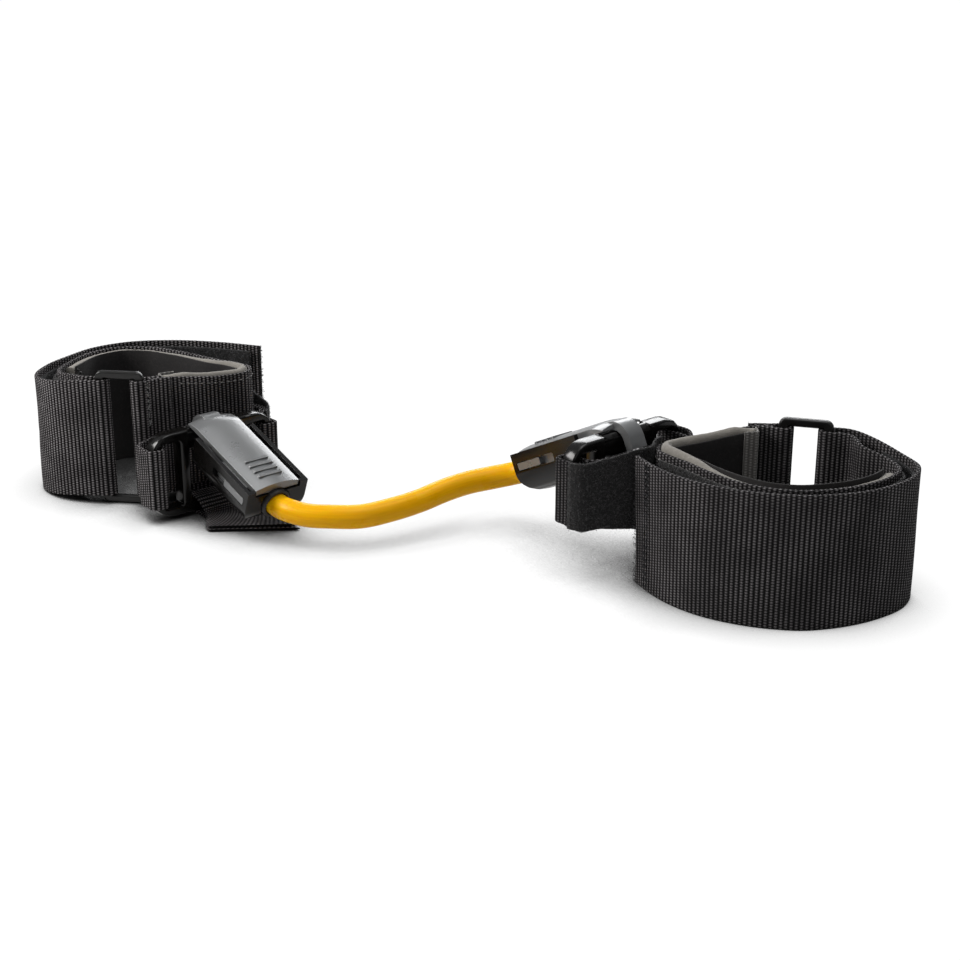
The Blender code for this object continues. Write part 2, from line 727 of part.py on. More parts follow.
    def anchor_plate(self):
        """The plate: a keeper slot at each end, a window in the middle and a round rail for the clip."""
        middle = PLATE_HEIGHT / 2
        outline_at = box_outline_at(PLATE_WIDTH, PLATE_HEIGHT, PLATE_CORNER, (0.0, middle))
        mesh = slab("anchor_plate", outline_at, PLATE_THICK, PLATE_EDGE)
        made = new_object(f"{self.side}_anchor_plate", mesh, "black_plastic", self.root)
        spot = Matrix.Translation((*self.plate, self.bottom))
        made.matrix_basis = self.root.matrix_basis.inverted() @ spot @ Matrix.Rotation(PLATE_AZIMUTH, 4, "Z")
        slot_height = KEEPER_WIDTH + PLATE_SLOT_CLEARANCE * 2
        reach = PLATE_WIDTH / 2 - PLATE_END_BAR - PLATE_SLOT / 2
        for sign in (-1, 1):
            outline_at = box_outline_at(PLATE_SLOT, slot_height, PLATE_EDGE, (sign * reach, middle))
            name = f"{self.side}_plate_slot_{'near' if sign < 0 else 'far'}"
            combine(made, slab_hole(name, outline_at, PLATE_THICK, PLATE_EDGE), "DIFFERENCE")
        half = self.window() / 2
        tall = PLATE_HEIGHT + RAIL_HEIGHT
        outline_at = box_outline_at(half * 2, tall, PLATE_EDGE, (0.0, PLATE_LOW_RAIL + tall / 2))
        name = f"{self.side}_plate_window"
        combine(made, slab_hole(name, outline_at, PLATE_THICK, PLATE_EDGE), "DIFFERENCE")
        centre = PLATE_HEIGHT - RAIL_HEIGHT / 2
        section = rounded_box_outline(RAIL_THICK, RAIL_HEIGHT, RAIL_THICK / 2 * 0.98, (0.0, centre))
        reach = half + PLATE_POST / 2
        combine(made, prism(f"{self.side}_plate_rail", section, -reach, reach, "yz"), "UNION")

    def window(self):
        """Clear width of the plate's middle window."""
        return PLATE_WIDTH - 2 * (PLATE_END_BAR + PLATE_SLOT + PLATE_POST)

    def keeper_route(self, data, end_sign):
        """From a plate's end bar back to the strap, then along the strap's outer face."""
        bar = (PLATE_WIDTH - PLATE_END_BAR) / 2 * end_sign
        points = [(0.0, 0.0)] + data["via"]
        spots = [(behind, bar - end_sign * inward) for behind, inward in points]
        points = [self.plate + self.back * behind + self.along * along for behind, along in spots]
        start, end = data["land"]
        stand = self.landed
        if start > end:
            stand += PATCH_THICK + GAP
        for step in range(4):
            point, direction = self.round.place(start + (end - start) * step / 3)
            points.append(point + outward(direction) * stand)
        return Route(smooth_line(points))

    def keeper(self, part, data, end_sign):
        """Keeper webbing folded round an end bar of the plate."""
        route = self.keeper_route(data, end_sign)
        half_turn = PLATE_END_BAR / 2 + GAP + KEEPER_THICK / 2
        apex = PLATE_THICK / 2 + GAP + KEEPER_THICK / 2
        half_joined = (KEEPER_THICK + GAP) / 2
        merge = (PLATE_THICK / 2 + GAP, PLATE_THICK / 2 + KEEPER_MERGE)
        corner = PLATE_EDGE + GAP + KEEPER_THICK / 2
        inner_end = route.length - KEEPER_HEM
        line = folded_line(route, half_turn, apex, corner, half_joined, merge, route.length, inner_end)
        low = self.bottom + (PLATE_HEIGHT - KEEPER_WIDTH) / 2
        mesh = loft(part, line_rings(line, KEEPER_THICK, low, KEEPER_WIDTH))
        self.piece(part, mesh, "black_webbing")
        return route

    def keepers(self):
        """Both keepers, and the fuzzy patch sewn over the longer one's legs."""
        ring_sign = -1.0 if self.side == "left" else 1.0
        self.keeper("keeper_ring_side", self.layout["ring_side"], ring_sign)
        route = self.keeper("keeper_free_side", self.layout["free_side"], -ring_sign)
        offset = KEEPER_THICK + GAP * 1.5 + PATCH_THICK / 2
        start = PLATE_THICK / 2 + KEEPER_MERGE
        middle = self.bottom + PLATE_HEIGHT / 2

        def height(stop):
            share = ease((stop - start) / (route.length - start))
            return PATCH_HEIGHT_AT_PLATE + (self.layout["patch_height"] - PATCH_HEIGHT_AT_PLATE) * share

        def low(stop):
            return max(PATCH_FLOOR, middle - height(stop) / 2)

        stops = route.walk(start, route.length, longest=0.0045, turn=12.0)
        mesh = band("anchor_patch", route, stops, offset, PATCH_THICK, low, height)
        self.piece("anchor_patch", mesh, "loop_fabric")

    def pull_tab(self):
        """Tab of doubled webbing folded round the plate's low rail and lying on the floor in front."""
        foot = TAB_FLOOR_GAP + TAB_THICK / 2
        rail_top = self.bottom + PLATE_LOW_RAIL + GAP + TAB_THICK / 2
        behind = -(PLATE_THICK / 2 + GAP + TAB_THICK / 2)
        upper = foot + TAB_THICK + GAP
        middle = (foot + rail_top) / 2
        points = [(TAB_LENGTH, foot), (0.0, foot), (behind * 0.72, foot + 0.0002), (behind, foot + 0.0012)]
        points += [(behind, middle), (behind, rail_top - 0.0010)]
        points += [(behind * 0.75, rail_top), (-behind * 0.8, rail_top)]
        points += [(-behind * 1.3, rail_top - 0.0012), (0.0095, upper + 0.0010), (0.0135, upper)]
        points += [(TAB_LENGTH - TAB_HEM, upper)]
        line = Route([Vector(point) for point in points])
        rings = []
        for ring, point in zip(line_rings(line, TAB_THICK, -0.5, 1.0), line.line):
            past = max(0.0, point.x - TAB_BEND) / (TAB_LENGTH - TAB_BEND)
            share = ease(past)
            wide = TAB_WIDTH + (TAB_FLARE - TAB_WIDTH) * share
            skew = TAB_SKEW * past
            rings.append([(u + skew * w * 2 - skew, w * wide - TAB_SWAY * share, v) for u, v, w in ring])
        made = new_object("left_pull_tab", loft("pull_tab", rings), "black_webbing", self.root)
        spot = Matrix.Translation((*self.plate, 0.0))
        spin = Matrix.Rotation(PLATE_AZIMUTH - math.pi / 2, 4, "Z")
        made.matrix_basis = self.root.matrix_basis.inverted() @ spot @ spin

    def build(self):
        """Every piece of this cuff."""
        self.strap()
        self.pad()
        self.tapes()
        self.ring()
        self.ring_webbing()
        self.anchor_plate()
        self.keepers()
        if self.side == "left":
            self.pull_tab()


def u_outline(half, bottom, radius, top):
    """A channel's outline: straight sides and a bottom with large round corners."""
    corners = [(-half, bottom, radius), (half, bottom, radius), (half, top, 0.0), (-half, top, 0.0)]
    return rounded_outline(corners, 22.5)


def rail_clearance():
    """Inner radius of the hook that turns round the plate's rail."""
    return RAIL_HEIGHT / 2 + GAP


def clip_hook(side, clip):
    """The gray moulding: hook over the rail, cap, core, and the block that holds the tube's end."""
    inner = rail_clearance()
    outer = inner + HOOK_WALL
    arch = []
    for step in range(13):
        angle = math.pi * step / 12
        arch.append((outer * math.cos(angle), outer * math.sin(angle)))
    tip = -inner + GAP
    arch += [(-outer, tip), (-inner, tip)]
    for step in range(13):
        angle = math.pi - math.pi * step / 12
        arch.append((inner * math.cos(angle), inner * math.sin(angle)))
    arch += [(inner, tip), (outer, tip)]
    mesh = prism("clip_hook", arch, -HOOK_WIDTH / 2, HOOK_WIDTH / 2, "xz")
    made = new_object(f"{side}_clip_hook", mesh, "gray_plastic", clip)
    half = CAP_WIDTH / 2
    sections = []
    tail = [CAP_START + CAP_TAIL_RUN * step / 5 for step in range(6)]
    for x in tail + [CAP_END]:
        short = min(1.0, (x - CAP_START) / CAP_TAIL_RUN)
        top = CAP_EDGE_TOP - CAP_TAIL_DROP * (1.0 - short) ** 2
        section = [(x, -half, CAP_EDGE_TOP - CAP_THICK), (x, half, CAP_EDGE_TOP - CAP_THICK)]
        for step in range(7):
            share = 1.0 - step / 3.0
            section.append((x, half * share, top + CAP_CROWN * (1.0 - share * share)))
        sections.append(section)
    combine(made, loft(f"{side}_cap", sections), "UNION")
    for index in range(CAP_RIDGES):
        at = CAP_END - CAP_RIDGE_INSET - CAP_RIDGE_PITCH * index
        level = CAP_EDGE_TOP + CAP_CROWN + CAP_RIDGE_RISE - CAP_RIDGE_DEPTH / 2
        outline = rounded_box_outline(CAP_RIDGE_LENGTH, CAP_RIDGE_DEPTH, CAP_RIDGE_EDGE, (0.0, level))
        wide = CAP_RIDGE_WIDTH / 2
        combine(made, prism(f"{side}_ridge_{index}", outline, at - wide, at + wide, "yz"), "UNION")
    core = rounded_box_outline(CORE_WIDTH, CORE_DEPTH, CORE_EDGE, (0.0, CORE_FLOOR + CORE_DEPTH / 2))
    combine(made, prism(f"{side}_core", core, inner + HOOK_WALL / 2, BLOCK_START + JOIN, "yz"), "UNION")
    inside = SLEEVE_WIDTH / 2 - SLEEVE_WALL - GAP
    floor = -(SLEEVE_BOTTOM - SLEEVE_WALL - GAP)
    block = u_outline(inside, floor, SLEEVE_ROUND - SLEEVE_WALL - GAP, CAP_EDGE_TOP - CAP_THICK + GAP)
    combine(made, prism(f"{side}_block", block, BLOCK_START, BLOCK_END, "yz"), "UNION")
    middle = ((LUG_START + LUG_END) / 2, LUG_LEVEL)
    lug = rounded_box_outline(LUG_END - LUG_START, LUG_HEIGHT, LUG_EDGE, middle)
    root = inside - JOIN
    reach = SLEEVE_WIDTH / 2
    combine(made, prism(f"{side}_near_lug", lug, -reach, -root, "xz"), "UNION")
    combine(made, prism(f"{side}_far_lug", lug, root, reach, "xz"), "UNION")
    neck = TUBE_OUTER / 2 + GAP
    seat = FLARE_OUTER / 2 + GAP
    flare_end = TUBE_START + FLARE_LENGTH + GAP
    rear = BLOCK_START - PAST
    past_cap = CAP_END + PAST
    bore = [
        (rear, 0.0), (rear, seat), (flare_end, seat), (flare_end + FLARE_TAPER, neck),
        (past_cap, neck), (past_cap, 0.0),
    ]
    mesh = spun(f"{side}_tube_bore", bore)
    mesh.transform(Matrix.Translation((0.0, 0.0, -TUBE_DROP)))
    combine(made, mesh, "DIFFERENCE")
    room = COLLAR_OUTER / 2 + GAP
    notch = [(BLOCK_END, 0.0), (BLOCK_END, room), (past_cap, room), (past_cap, 0.0)]
    mesh = spun(f"{side}_collar_notch", notch)
    mesh.transform(Matrix.Translation((0.0, 0.0, -TUBE_DROP)))
    combine(made, mesh, "DIFFERENCE")


def clip_sleeve(side, slide):
    """The black sleeve round the hook's block, whose gate closes the hook from below."""
    half = SLEEVE_WIDTH / 2
    outline = u_outline(half, -SLEEVE_BOTTOM, SLEEVE_ROUND, SLEEVE_TOP)
    mesh = prism("clip_sleeve", outline, SLEEVE_START, SLEEVE_END, "yz")
    made = new_object(f"{side}_clip_sleeve", mesh, "black_plastic", slide)
    skin = PAST / 10
    hull = rounded_outline([
        (SLEEVE_START - skin, -SLEEVE_BOTTOM - skin, SLEEVE_HEEL_ROUND),
        (SLEEVE_END + skin, -SLEEVE_BOTTOM - skin, SLEEVE_NOSE_ROUND),
        (SLEEVE_END + skin, SLEEVE_TOP + PAST, 0.0),
        (SLEEVE_START - skin, SLEEVE_TOP + PAST, 0.0),
    ], 15.0)
    combine(made, prism(f"{side}_sleeve_hull", hull, -half - PAST, half + PAST, "xz"), "INTERSECT")
    gate_top = -rail_clearance()
    gate_end = SLEEVE_START + SLEEVE_REAR_WALL + GATE_JOIN
    gate = rounded_outline([
        (-GATE_REACH, gate_top - GATE_THICK, GATE_EDGE), (gate_end, gate_top - GATE_THICK, 0.0),
        (gate_end, gate_top, 0.0), (-GATE_REACH, gate_top, 0.0),
    ])
    combine(made, prism(f"{side}_gate", gate, -GATE_WIDTH / 2, GATE_WIDTH / 2, "xz"), "UNION")
    clear = half - SLEEVE_WALL
    above = SLEEVE_TOP * 2
    inside = u_outline(clear, SLEEVE_WALL - SLEEVE_BOTTOM, SLEEVE_ROUND - SLEEVE_WALL, above)
    rear = SLEEVE_START + SLEEVE_REAR_WALL
    combine(made, prism(f"{side}_sleeve_room", inside, rear, SLEEVE_END - SLEEVE_WALL, "yz"), "DIFFERENCE")
    over = [(-clear, -GAP), (clear, -GAP), (clear, above), (-clear, above)]
    combine(made, prism(f"{side}_sleeve_mouth", over, SLEEVE_START - PAST, rear + PAST, "yz"), "DIFFERENCE")
    room = COLLAR_OUTER / 2 + GAP
    front = SLEEVE_END - SLEEVE_WALL
    hole = [(front - PAST, 0.0), (front - PAST, room), (SLEEVE_END + PAST, room), (SLEEVE_END + PAST, 0.0)]
    mesh = spun(f"{side}_sleeve_hole", hole)
    mesh.transform(Matrix.Translation((0.0, 0.0, -TUBE_DROP)))
    combine(made, mesh, "DIFFERENCE")
    lip = CAP_WIDTH / 2 + GAP
    under = CAP_EDGE_TOP - CAP_THICK - GAP
    over = [(-lip, under), (lip, under), (lip, above), (-lip, above)]
    combine(made, prism(f"{side}_sleeve_lip", over, front - PAST, SLEEVE_END + PAST, "yz"), "DIFFERENCE")
    start = LUG_START - LATCH_TRAVEL - GAP * 2
    tall = LUG_HEIGHT + GAP * 2
    end = LUG_END + GAP
    window = rounded_box_outline(end - start, tall, LUG_EDGE + GAP, ((start + end) / 2, LUG_LEVEL))
    combine(made, prism(f"{side}_lug_window", window, -half - PAST, half + PAST, "xz"), "DIFFERENCE")
    soften(made, SLEEVE_EDGE, 1)


def latch_spring(side, slide):
    """The coil spring between the sleeve's rear wall and the hook's block."""
    start = SLEEVE_START + SLEEVE_REAR_WALL + GAP + SPRING_WIRE / 2
    end = BLOCK_START - GAP - SPRING_WIRE / 2
    level = -(SLEEVE_BOTTOM - SLEEVE_WALL) + SPRING_RADIUS + SPRING_WIRE / 2 + GAP
    count = SPRING_TURNS * SPRING_POINTS
    rings = []
    for index in range(count + 1):
        angle = 2 * math.pi * index / SPRING_POINTS
        radial = Vector((0.0, math.cos(angle), math.sin(angle)))
        centre = Vector((start + (end - start) * index / count, 0.0, level)) + radial * SPRING_RADIUS
        ring = []
        for side_index in range(6):
            turn = 2 * math.pi * side_index / 6
            spot = radial * math.cos(turn) + Vector((1.0, 0.0, 0.0)) * math.sin(turn)
            ring.append(centre + spot * SPRING_WIRE / 2)
        rings.append(ring)
    new_object(f"{side}_latch_spring", loft("latch_spring", rings), "spring_steel", slide)


def tube_fittings(side, clip):
    """The plug pressed into the tube's end and the rubber collar at the clip's mouth."""
    drop = Matrix.Translation((0.0, 0.0, -TUBE_DROP))
    fit = FLARE_BORE / 2 - GAP
    head = FLARE_OUTER / 2 - 0.0004
    start = TUBE_START - GAP - PLUG_HEAD
    profile = [
        (start, 0.0), (start, head - 0.0006), (start + 0.0006, head), (start + PLUG_HEAD, head),
        (start + PLUG_HEAD, fit), (TUBE_START + FLARE_LENGTH - 0.0010, fit),
        (TUBE_START + FLARE_LENGTH + PLUG_NOSE - 0.0020, TUBE_BORE / 2 - GAP),
        (TUBE_START + FLARE_LENGTH + PLUG_NOSE, TUBE_BORE / 2 - 0.0008),
        (TUBE_START + FLARE_LENGTH + PLUG_NOSE, 0.0),
    ]
    mesh = spun("tube_plug", profile, 16)
    mesh.transform(drop)
    new_object(f"{side}_tube_plug", mesh, "plug_plastic", clip)
    bore = TUBE_OUTER / 2 + GAP
    outer = COLLAR_OUTER / 2
    start = BLOCK_END + GAP
    profile = [
        (start, bore), (start, outer - 0.0004), (start + 0.0004, outer), (COLLAR_END - 0.0010, outer),
        (COLLAR_END - 0.0003, outer - 0.0003), (COLLAR_END, outer - 0.0010), (COLLAR_END, bore + 0.0004),
        (COLLAR_END - 0.0004, bore),
    ]
    mesh = turned("tube_collar", profile, 20)
    mesh.transform(drop)
    new_object(f"{side}_tube_collar", mesh, "black_rubber", clip)


def clip_frame(plate, bottom, azimuth, pitch):
    """A clip's own frame: its origin on the rail, x towards the tube, z its upper side."""
    level = math.cos(pitch)
    forward = Vector((math.cos(azimuth) * level, math.sin(azimuth) * level, -math.sin(pitch)))
    across = Vector((-math.sin(azimuth), math.cos(azimuth), 0.0))
    upper = forward.cross(across)
    frame = Matrix((forward, across, upper)).transposed().to_4x4()
    frame.translation = (plate.x, plate.y, bottom + PLATE_HEIGHT - RAIL_HEIGHT / 2)
    return frame


def tube_radii(along, length):
    """Outer and bore radius of the tube at a distance from one end, over the plugs and between them."""
    near = min(along, length - along)
    share = ease((near - FLARE_LENGTH) / FLARE_TAPER)
    outer = FLARE_OUTER + (TUBE_OUTER - FLARE_OUTER) * share
    bore = FLARE_BORE + (TUBE_BORE - FLARE_BORE) * share
    return outer / 2, bore / 2


def resistance_tube(parent, left_frame, right_frame):
    """The elastic tube: straight in each clip, and along its route between them."""
    def in_clip(frame, along):
        return frame @ Vector((along, 0.0, -TUBE_DROP))
    inside = COLLAR_END - TUBE_START
    ends = [TUBE_START + inside * share for share in (0.0, 0.26, 0.52, 0.83, 1.0)]
    points = [in_clip(left_frame, along) for along in ends]
    points += [Vector(point) for point in TUBE_ROUTE]
    points += [in_clip(right_frame, along) for along in reversed(ends)]
    route = Route(smooth_line(points, 8))
    stops = [0.0, FLARE_LENGTH, FLARE_LENGTH + FLARE_TAPER / 2, FLARE_LENGTH + FLARE_TAPER]
    first = stops[-1] + TUBE_STEP
    last = route.length - first
    count = round((last - first) / TUBE_STEP)
    stops += [first + (last - first) * index / count for index in range(count + 1)]
    stops += [route.length - stop for stop in (stops[3], stops[2], stops[1], stops[0])]
    sides = 12
    outer_rings = []
    inner_rings = []
    for stop in stops:
        centre, direction = route.place(stop)
        across = direction.cross(Vector((0.0, 0.0, 1.0))).normalized()
        upper = across.cross(direction)
        radii = tube_radii(stop, route.length)
        for rings, radius in zip((outer_rings, inner_rings), radii):
            ring = []
            for side in range(sides):
                angle = 2 * math.pi * side / sides
                ring.append(centre + (across * math.cos(angle) + upper * math.sin(angle)) * radius)
            rings.append(ring)
    mesh = loft("resistance_tube", outer_rings + list(reversed(inner_rings)), closed=True)
    made = new_object("resistance_tube", mesh, "amber_latex", parent)
    made.matrix_parent_inverse = parent.matrix_basis.inverted()


def clear_scene():
    """Remove what a new file starts with."""
    for item in list(bpy.data.objects):
        bpy.data.objects.remove(item, do_unlink=True)


def main():
    clear_scene()
    root = empty("trainer", None, Matrix.Translation(-LAYOUT_CENTRE))
    left_frame = clip_frame(LEFT_PLATE, LEFT_PLATE_BOTTOM, PLATE_AZIMUTH - math.pi / 2, LEFT_CLIP_PITCH)
    right_frame = clip_frame(RIGHT_PLATE, RIGHT_PLATE_BOTTOM, PLATE_AZIMUTH + math.pi / 2, RIGHT_CLIP_PITCH)
    left_clip = empty("left_clip_pivot", root, left_frame)
    right_clip = empty("right_clip_pivot", root, right_frame)
    left_cuff = empty("left_cuff_root", root, Matrix.Identity(4))
    right_cuff = empty("right_cuff_pivot", root, Matrix.Translation(right_frame.translation))
    Cuff("left", left_cuff, {
        "plate": LEFT_PLATE, "plate_bottom": LEFT_PLATE_BOTTOM, "ring": LEFT_RING,
        "ring_azimuth": LEFT_RING_AZIMUTH, "round": LEFT_ROUND, "tail": LEFT_TAIL, "lean": LEFT_LEAN,
        "pad_share": LEFT_PAD_SHARE, "ring_side": LEFT_RING_SIDE, "free_side": LEFT_FREE_SIDE,
        "patch_height": LEFT_PATCH_HEIGHT_AT_CUFF,
    }).build()
    Cuff("right", right_cuff, {
        "plate": RIGHT_PLATE, "plate_bottom": RIGHT_PLATE_BOTTOM, "ring": RIGHT_RING,
        "ring_azimuth": RIGHT_RING_AZIMUTH, "round": RIGHT_ROUND, "tail": RIGHT_TAIL, "lean": RIGHT_LEAN,
        "pad_share": RIGHT_PAD_SHARE, "ring_side": RIGHT_RING_SIDE, "free_side": RIGHT_FREE_SIDE,
        "patch_height": RIGHT_PATCH_HEIGHT_AT_CUFF,
    }).build()
    for side, clip in (("left", left_clip), ("right", right_clip)):
        slide = empty(f"{side}_latch_slide", clip, Matrix.Identity(4))
        clip_hook(side, clip)
        clip_sleeve(side, slide)
        latch_spring(side, clip)
        tube_fittings(side, clip)
    resistance_tube(left_clip, left_frame, right_frame)
    bpy.context.view_layer.update()


main()
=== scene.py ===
"""Looks of the lateral resistance trainer: webbing, foam, tapes, moulded plastic and the elastic tube.

Every length is in metres. The cuffs' lines are laid out in the workshop plan, and moved by PLAN_SHIFT into the
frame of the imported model.
"""

import math
import random

import bmesh
import bpy
from mathutils import Matrix, Vector, noise


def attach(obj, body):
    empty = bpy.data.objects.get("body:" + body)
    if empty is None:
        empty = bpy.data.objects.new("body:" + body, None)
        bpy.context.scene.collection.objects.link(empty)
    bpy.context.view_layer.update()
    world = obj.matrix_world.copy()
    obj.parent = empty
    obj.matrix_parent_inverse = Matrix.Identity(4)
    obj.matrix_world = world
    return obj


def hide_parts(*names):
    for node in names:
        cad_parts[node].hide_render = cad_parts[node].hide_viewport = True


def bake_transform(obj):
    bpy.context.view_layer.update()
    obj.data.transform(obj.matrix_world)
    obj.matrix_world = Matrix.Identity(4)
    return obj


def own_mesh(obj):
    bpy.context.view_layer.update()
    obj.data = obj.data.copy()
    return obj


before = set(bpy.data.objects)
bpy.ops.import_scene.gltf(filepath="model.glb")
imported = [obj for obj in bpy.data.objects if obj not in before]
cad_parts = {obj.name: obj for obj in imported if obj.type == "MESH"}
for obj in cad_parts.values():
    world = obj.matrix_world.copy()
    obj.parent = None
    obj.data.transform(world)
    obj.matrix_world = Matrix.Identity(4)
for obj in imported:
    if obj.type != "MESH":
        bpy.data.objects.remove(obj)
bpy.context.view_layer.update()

# Sizes that the sewn pieces share with the solids.
GAP = 0.0003
STRAP_WIDTH = 0.0508
STRAP_THICK = 0.0016
FOAM_THICK = 0.0040
LINING_THICK = 0.0008
LOOP_START_MARGIN = 0.0060
LOOP_END_MARGIN = 0.0220
HOOK_START = 0.0250
HOOK_END_MARGIN = 0.0040
LOOP_THICK = 0.0012
HOOK_THICK = 0.0012
TAPE_INSET = 0.0024
BINDING_THICK = 0.0008
BINDING_LEG = 0.0060
PATCH_THICK = 0.0012
PATCH_HEIGHT_AT_PLATE = 0.0262
PATCH_FLOOR = 0.0003
KEEPER_HEM = 0.0010
KEEPER_WIDTH = 0.0254
KEEPER_THICK = 0.0014
KEEPER_MERGE = 0.0100
KEEPER_JOINED = (KEEPER_THICK + GAP) / 2
RING_LENGTH = 0.0208
RING_BAR = 0.0040
RING_THICK = 0.0032
RING_LIFT = 0.0036
RING_TAB_OUTER = 0.0130
RING_TAB_INNER = 0.0100
RING_TAB_MERGE = 0.0060
RING_LEAD = 0.0081
STRAP_START = 0.0042
LIFT_START = 0.0040
LIFT_RUN = 0.0380
TURN_RUN = 0.0100
PLATE_WIDTH = 0.0600
PLATE_HEIGHT = 0.0360
PLATE_THICK = 0.0070
PLATE_END_BAR = 0.0048
PLATE_LOW_RAIL = 0.0050
PLATE_EDGE = 0.0010
KEEPER_PARTED = PLATE_END_BAR / 2 + GAP + KEEPER_THICK / 2
MERGE_START = PLATE_THICK / 2 + GAP
MERGE_END = PLATE_THICK / 2 + KEEPER_MERGE
RAIL_HEIGHT = 0.0092
TAB_THICK = 0.0010
TAB_WIDTH = 0.0212
TAB_FLARE = 0.0290
TAB_LENGTH = 0.0470
TAB_SKEW = 0.0115
TAB_SWAY = 0.0036
TAB_HEM = 0.0012
TAB_BEND = 0.0090
TAB_FLOOR_GAP = 0.0001
TUBE_OUTER = 0.0096
TUBE_BORE = 0.0052
TUBE_DROP = 0.0006
TUBE_START = 0.0300
FLARE_OUTER = 0.0118
FLARE_BORE = 0.0072
FLARE_LENGTH = 0.0075
FLARE_TAPER = 0.0040
CLIP_MOUTH = 0.0508

# The weave: one rib of the webbing and one bead of a rib.
RIB = 0.00180
BEAD = 0.00108
RIB_DEPTH = 0.00030
RIB_STEPS = 6
RIB_STEP = RIB / RIB_STEPS

# Sizes that only the looks need. TAIL_SWELL is a slow wave's scale, depth and seed.
TAIL_SWELL = (28.0, 0.0009, 8.4)
STITCH_STEPS = 6
STITCH_SIDES = 6
FIBRE_WIDTH = 0.00011
FIBRE_DEPTH = 0.0003
FOAM_ROUND = 0.0016
FOAM_ROWS = 8
TAIL_CREASE = 0.00035
TAIL_SWELL_START = 0.012
TAIL_SWELL_RUN = 0.03
TUBE_SIDES = 32
TAB_ROWS = 14
FLOOR_REACH = 4.0

PLAN_SHIFT = Vector((0.004924, -0.006590, 0.0))
PLATE_AZIMUTH = math.radians(67.5)
TUBE_ROUTE = [
    (-0.0430, -0.0458, 0.0136), (-0.0370, -0.0458, 0.0131), (-0.0260, -0.0430, 0.0132),
    (-0.0160, -0.0372, 0.0130), (-0.0080, -0.0278, 0.0138), (-0.0010, -0.0162, 0.0149),
    (0.0050, -0.0052, 0.0168), (0.0112, 0.0046, 0.0180), (0.0182, 0.0120, 0.0188), (0.0260, 0.0160, 0.0206),
]
CUFFS = {
    "left": {
        "plate": (-0.0952, -0.0247), "plate_bottom": 0.0014, "pitch": 21.0,
        "patch_height": 0.0440, "patch_reach": 0.0, "foam_proud": 0.0010,
        "ring": (-0.1310, -0.0365), "ring_azimuth": 199.3, "lean": 0.0, "pad_share": 0.80,
        "round": [
            (-0.1165, -0.0245), (-0.1085, -0.0130), (-0.1010, -0.0010), (-0.0972, 0.0070), (-0.0992, 0.0130),
            (-0.1070, 0.0162), (-0.1200, 0.0172), (-0.1400, 0.0205), (-0.1580, 0.0205), (-0.1710, 0.0135),
            (-0.1762, 0.0010), (-0.1752, -0.0130), (-0.1715, -0.0255), (-0.1640, -0.0335), (-0.1560, -0.0365),
        ],
        "tail": [
            (-0.1600, -0.0455), (-0.1740, -0.0380), (-0.1808, -0.0220), (-0.1815, -0.0070), (-0.1800, 0.0080),
            (-0.1720, 0.0230), (-0.1570, 0.0340), (-0.1340, 0.0415), (-0.1140, 0.0440),
        ],
        "ring_side": {"land": (0.0260, 0.0370), "via": [(0.0060, 0.0006), (0.0110, 0.0066), (0.0138, 0.0166)]},
        "free_side": {"land": (0.0640, 0.0760), "via": [(0.0062, -0.0003), (0.0105, -0.0044), (0.0152, -0.0094)]},
    },
    "right": {
        "plate": (0.0807, -0.0037), "plate_bottom": 0.0175, "pitch": 26.0,
        "patch_height": 0.0345, "patch_reach": 0.0095, "foam_proud": 0.0020,
        "ring": (0.1440, 0.0257), "ring_azimuth": 10.0, "lean": 0.0010, "pad_share": 0.80,
        "round": [
            (0.1260, 0.0210), (0.1160, 0.0140), (0.1070, 0.0060), (0.1005, -0.0008), (0.0974, -0.0075),
            (0.0990, -0.0134), (0.1048, -0.0175), (0.1130, -0.0215), (0.1230, -0.0275), (0.1350, -0.0330),
            (0.1470, -0.0350), (0.1590, -0.0325), (0.1690, -0.0260), (0.1780, -0.0160), (0.1840, -0.0040),
            (0.1845, 0.0060), (0.1780, 0.0130), (0.1680, 0.0175),
        ],
        "tail": [
            (0.1680, 0.0290), (0.1800, 0.0220), (0.1900, 0.0120), (0.1915, 0.0010), (0.1850, -0.0160),
            (0.1720, -0.0300), (0.1580, -0.0380), (0.1440, -0.0415), (0.1300, -0.0415), (0.1140, -0.0365),
            (0.1025, -0.0290), (0.0948, -0.0222),
        ],
        "ring_side": {"land": (0.0370, 0.0435), "via": [(0.0060, 0.0001), (0.0125, 0.0031)]},
        "free_side": {"land": (0.0555, 0.0490), "via": [(0.0055, 0.0002), (0.0100, 0.0076), (0.0138, 0.0186)]},
    },
}


def node(tree, kind, inputs=None, **settings):
    """A shader node with its settings, its input values and its links."""
    made = tree.nodes.new(kind)
    for key, value in settings.items():
        setattr(made, key, value)
    for key, value in (inputs or {}).items():
        if isinstance(value, bpy.types.NodeSocket):
            tree.links.new(value, made.inputs[key])
        else:
            made.inputs[key].default_value = value
    return made


def calc(tree, operation, *values):
    """The result of a math node."""
    return node(tree, "ShaderNodeMath", dict(enumerate(values)), operation=operation).outputs[0]


def times(tree, first, second):
    """The product of two values."""
    return calc(tree, "MULTIPLY", first, second)


def cloud(tree, place, scale, detail, roughness=0.5, output="Fac"):
    """The values of a noise texture."""
    inputs = {"Vector": place, "Scale": scale, "Detail": detail, "Roughness": roughness}
    return node(tree, "ShaderNodeTexNoise", inputs).outputs[output]


def give(tree, sockets, **sources):
    """Links from values to named sockets."""
    for key, value in sources.items():
        tree.links.new(value, sockets[key.replace("_", " ")])


def ramp(tree, value, low, high, to_low=0.0, to_high=1.0):
    """A value carried from one range to another and kept inside it."""
    inputs = {"Value": value, "From Min": low, "From Max": high, "To Min": to_low, "To Max": to_high}
    return node(tree, "ShaderNodeMapRange", inputs).outputs["Result"]


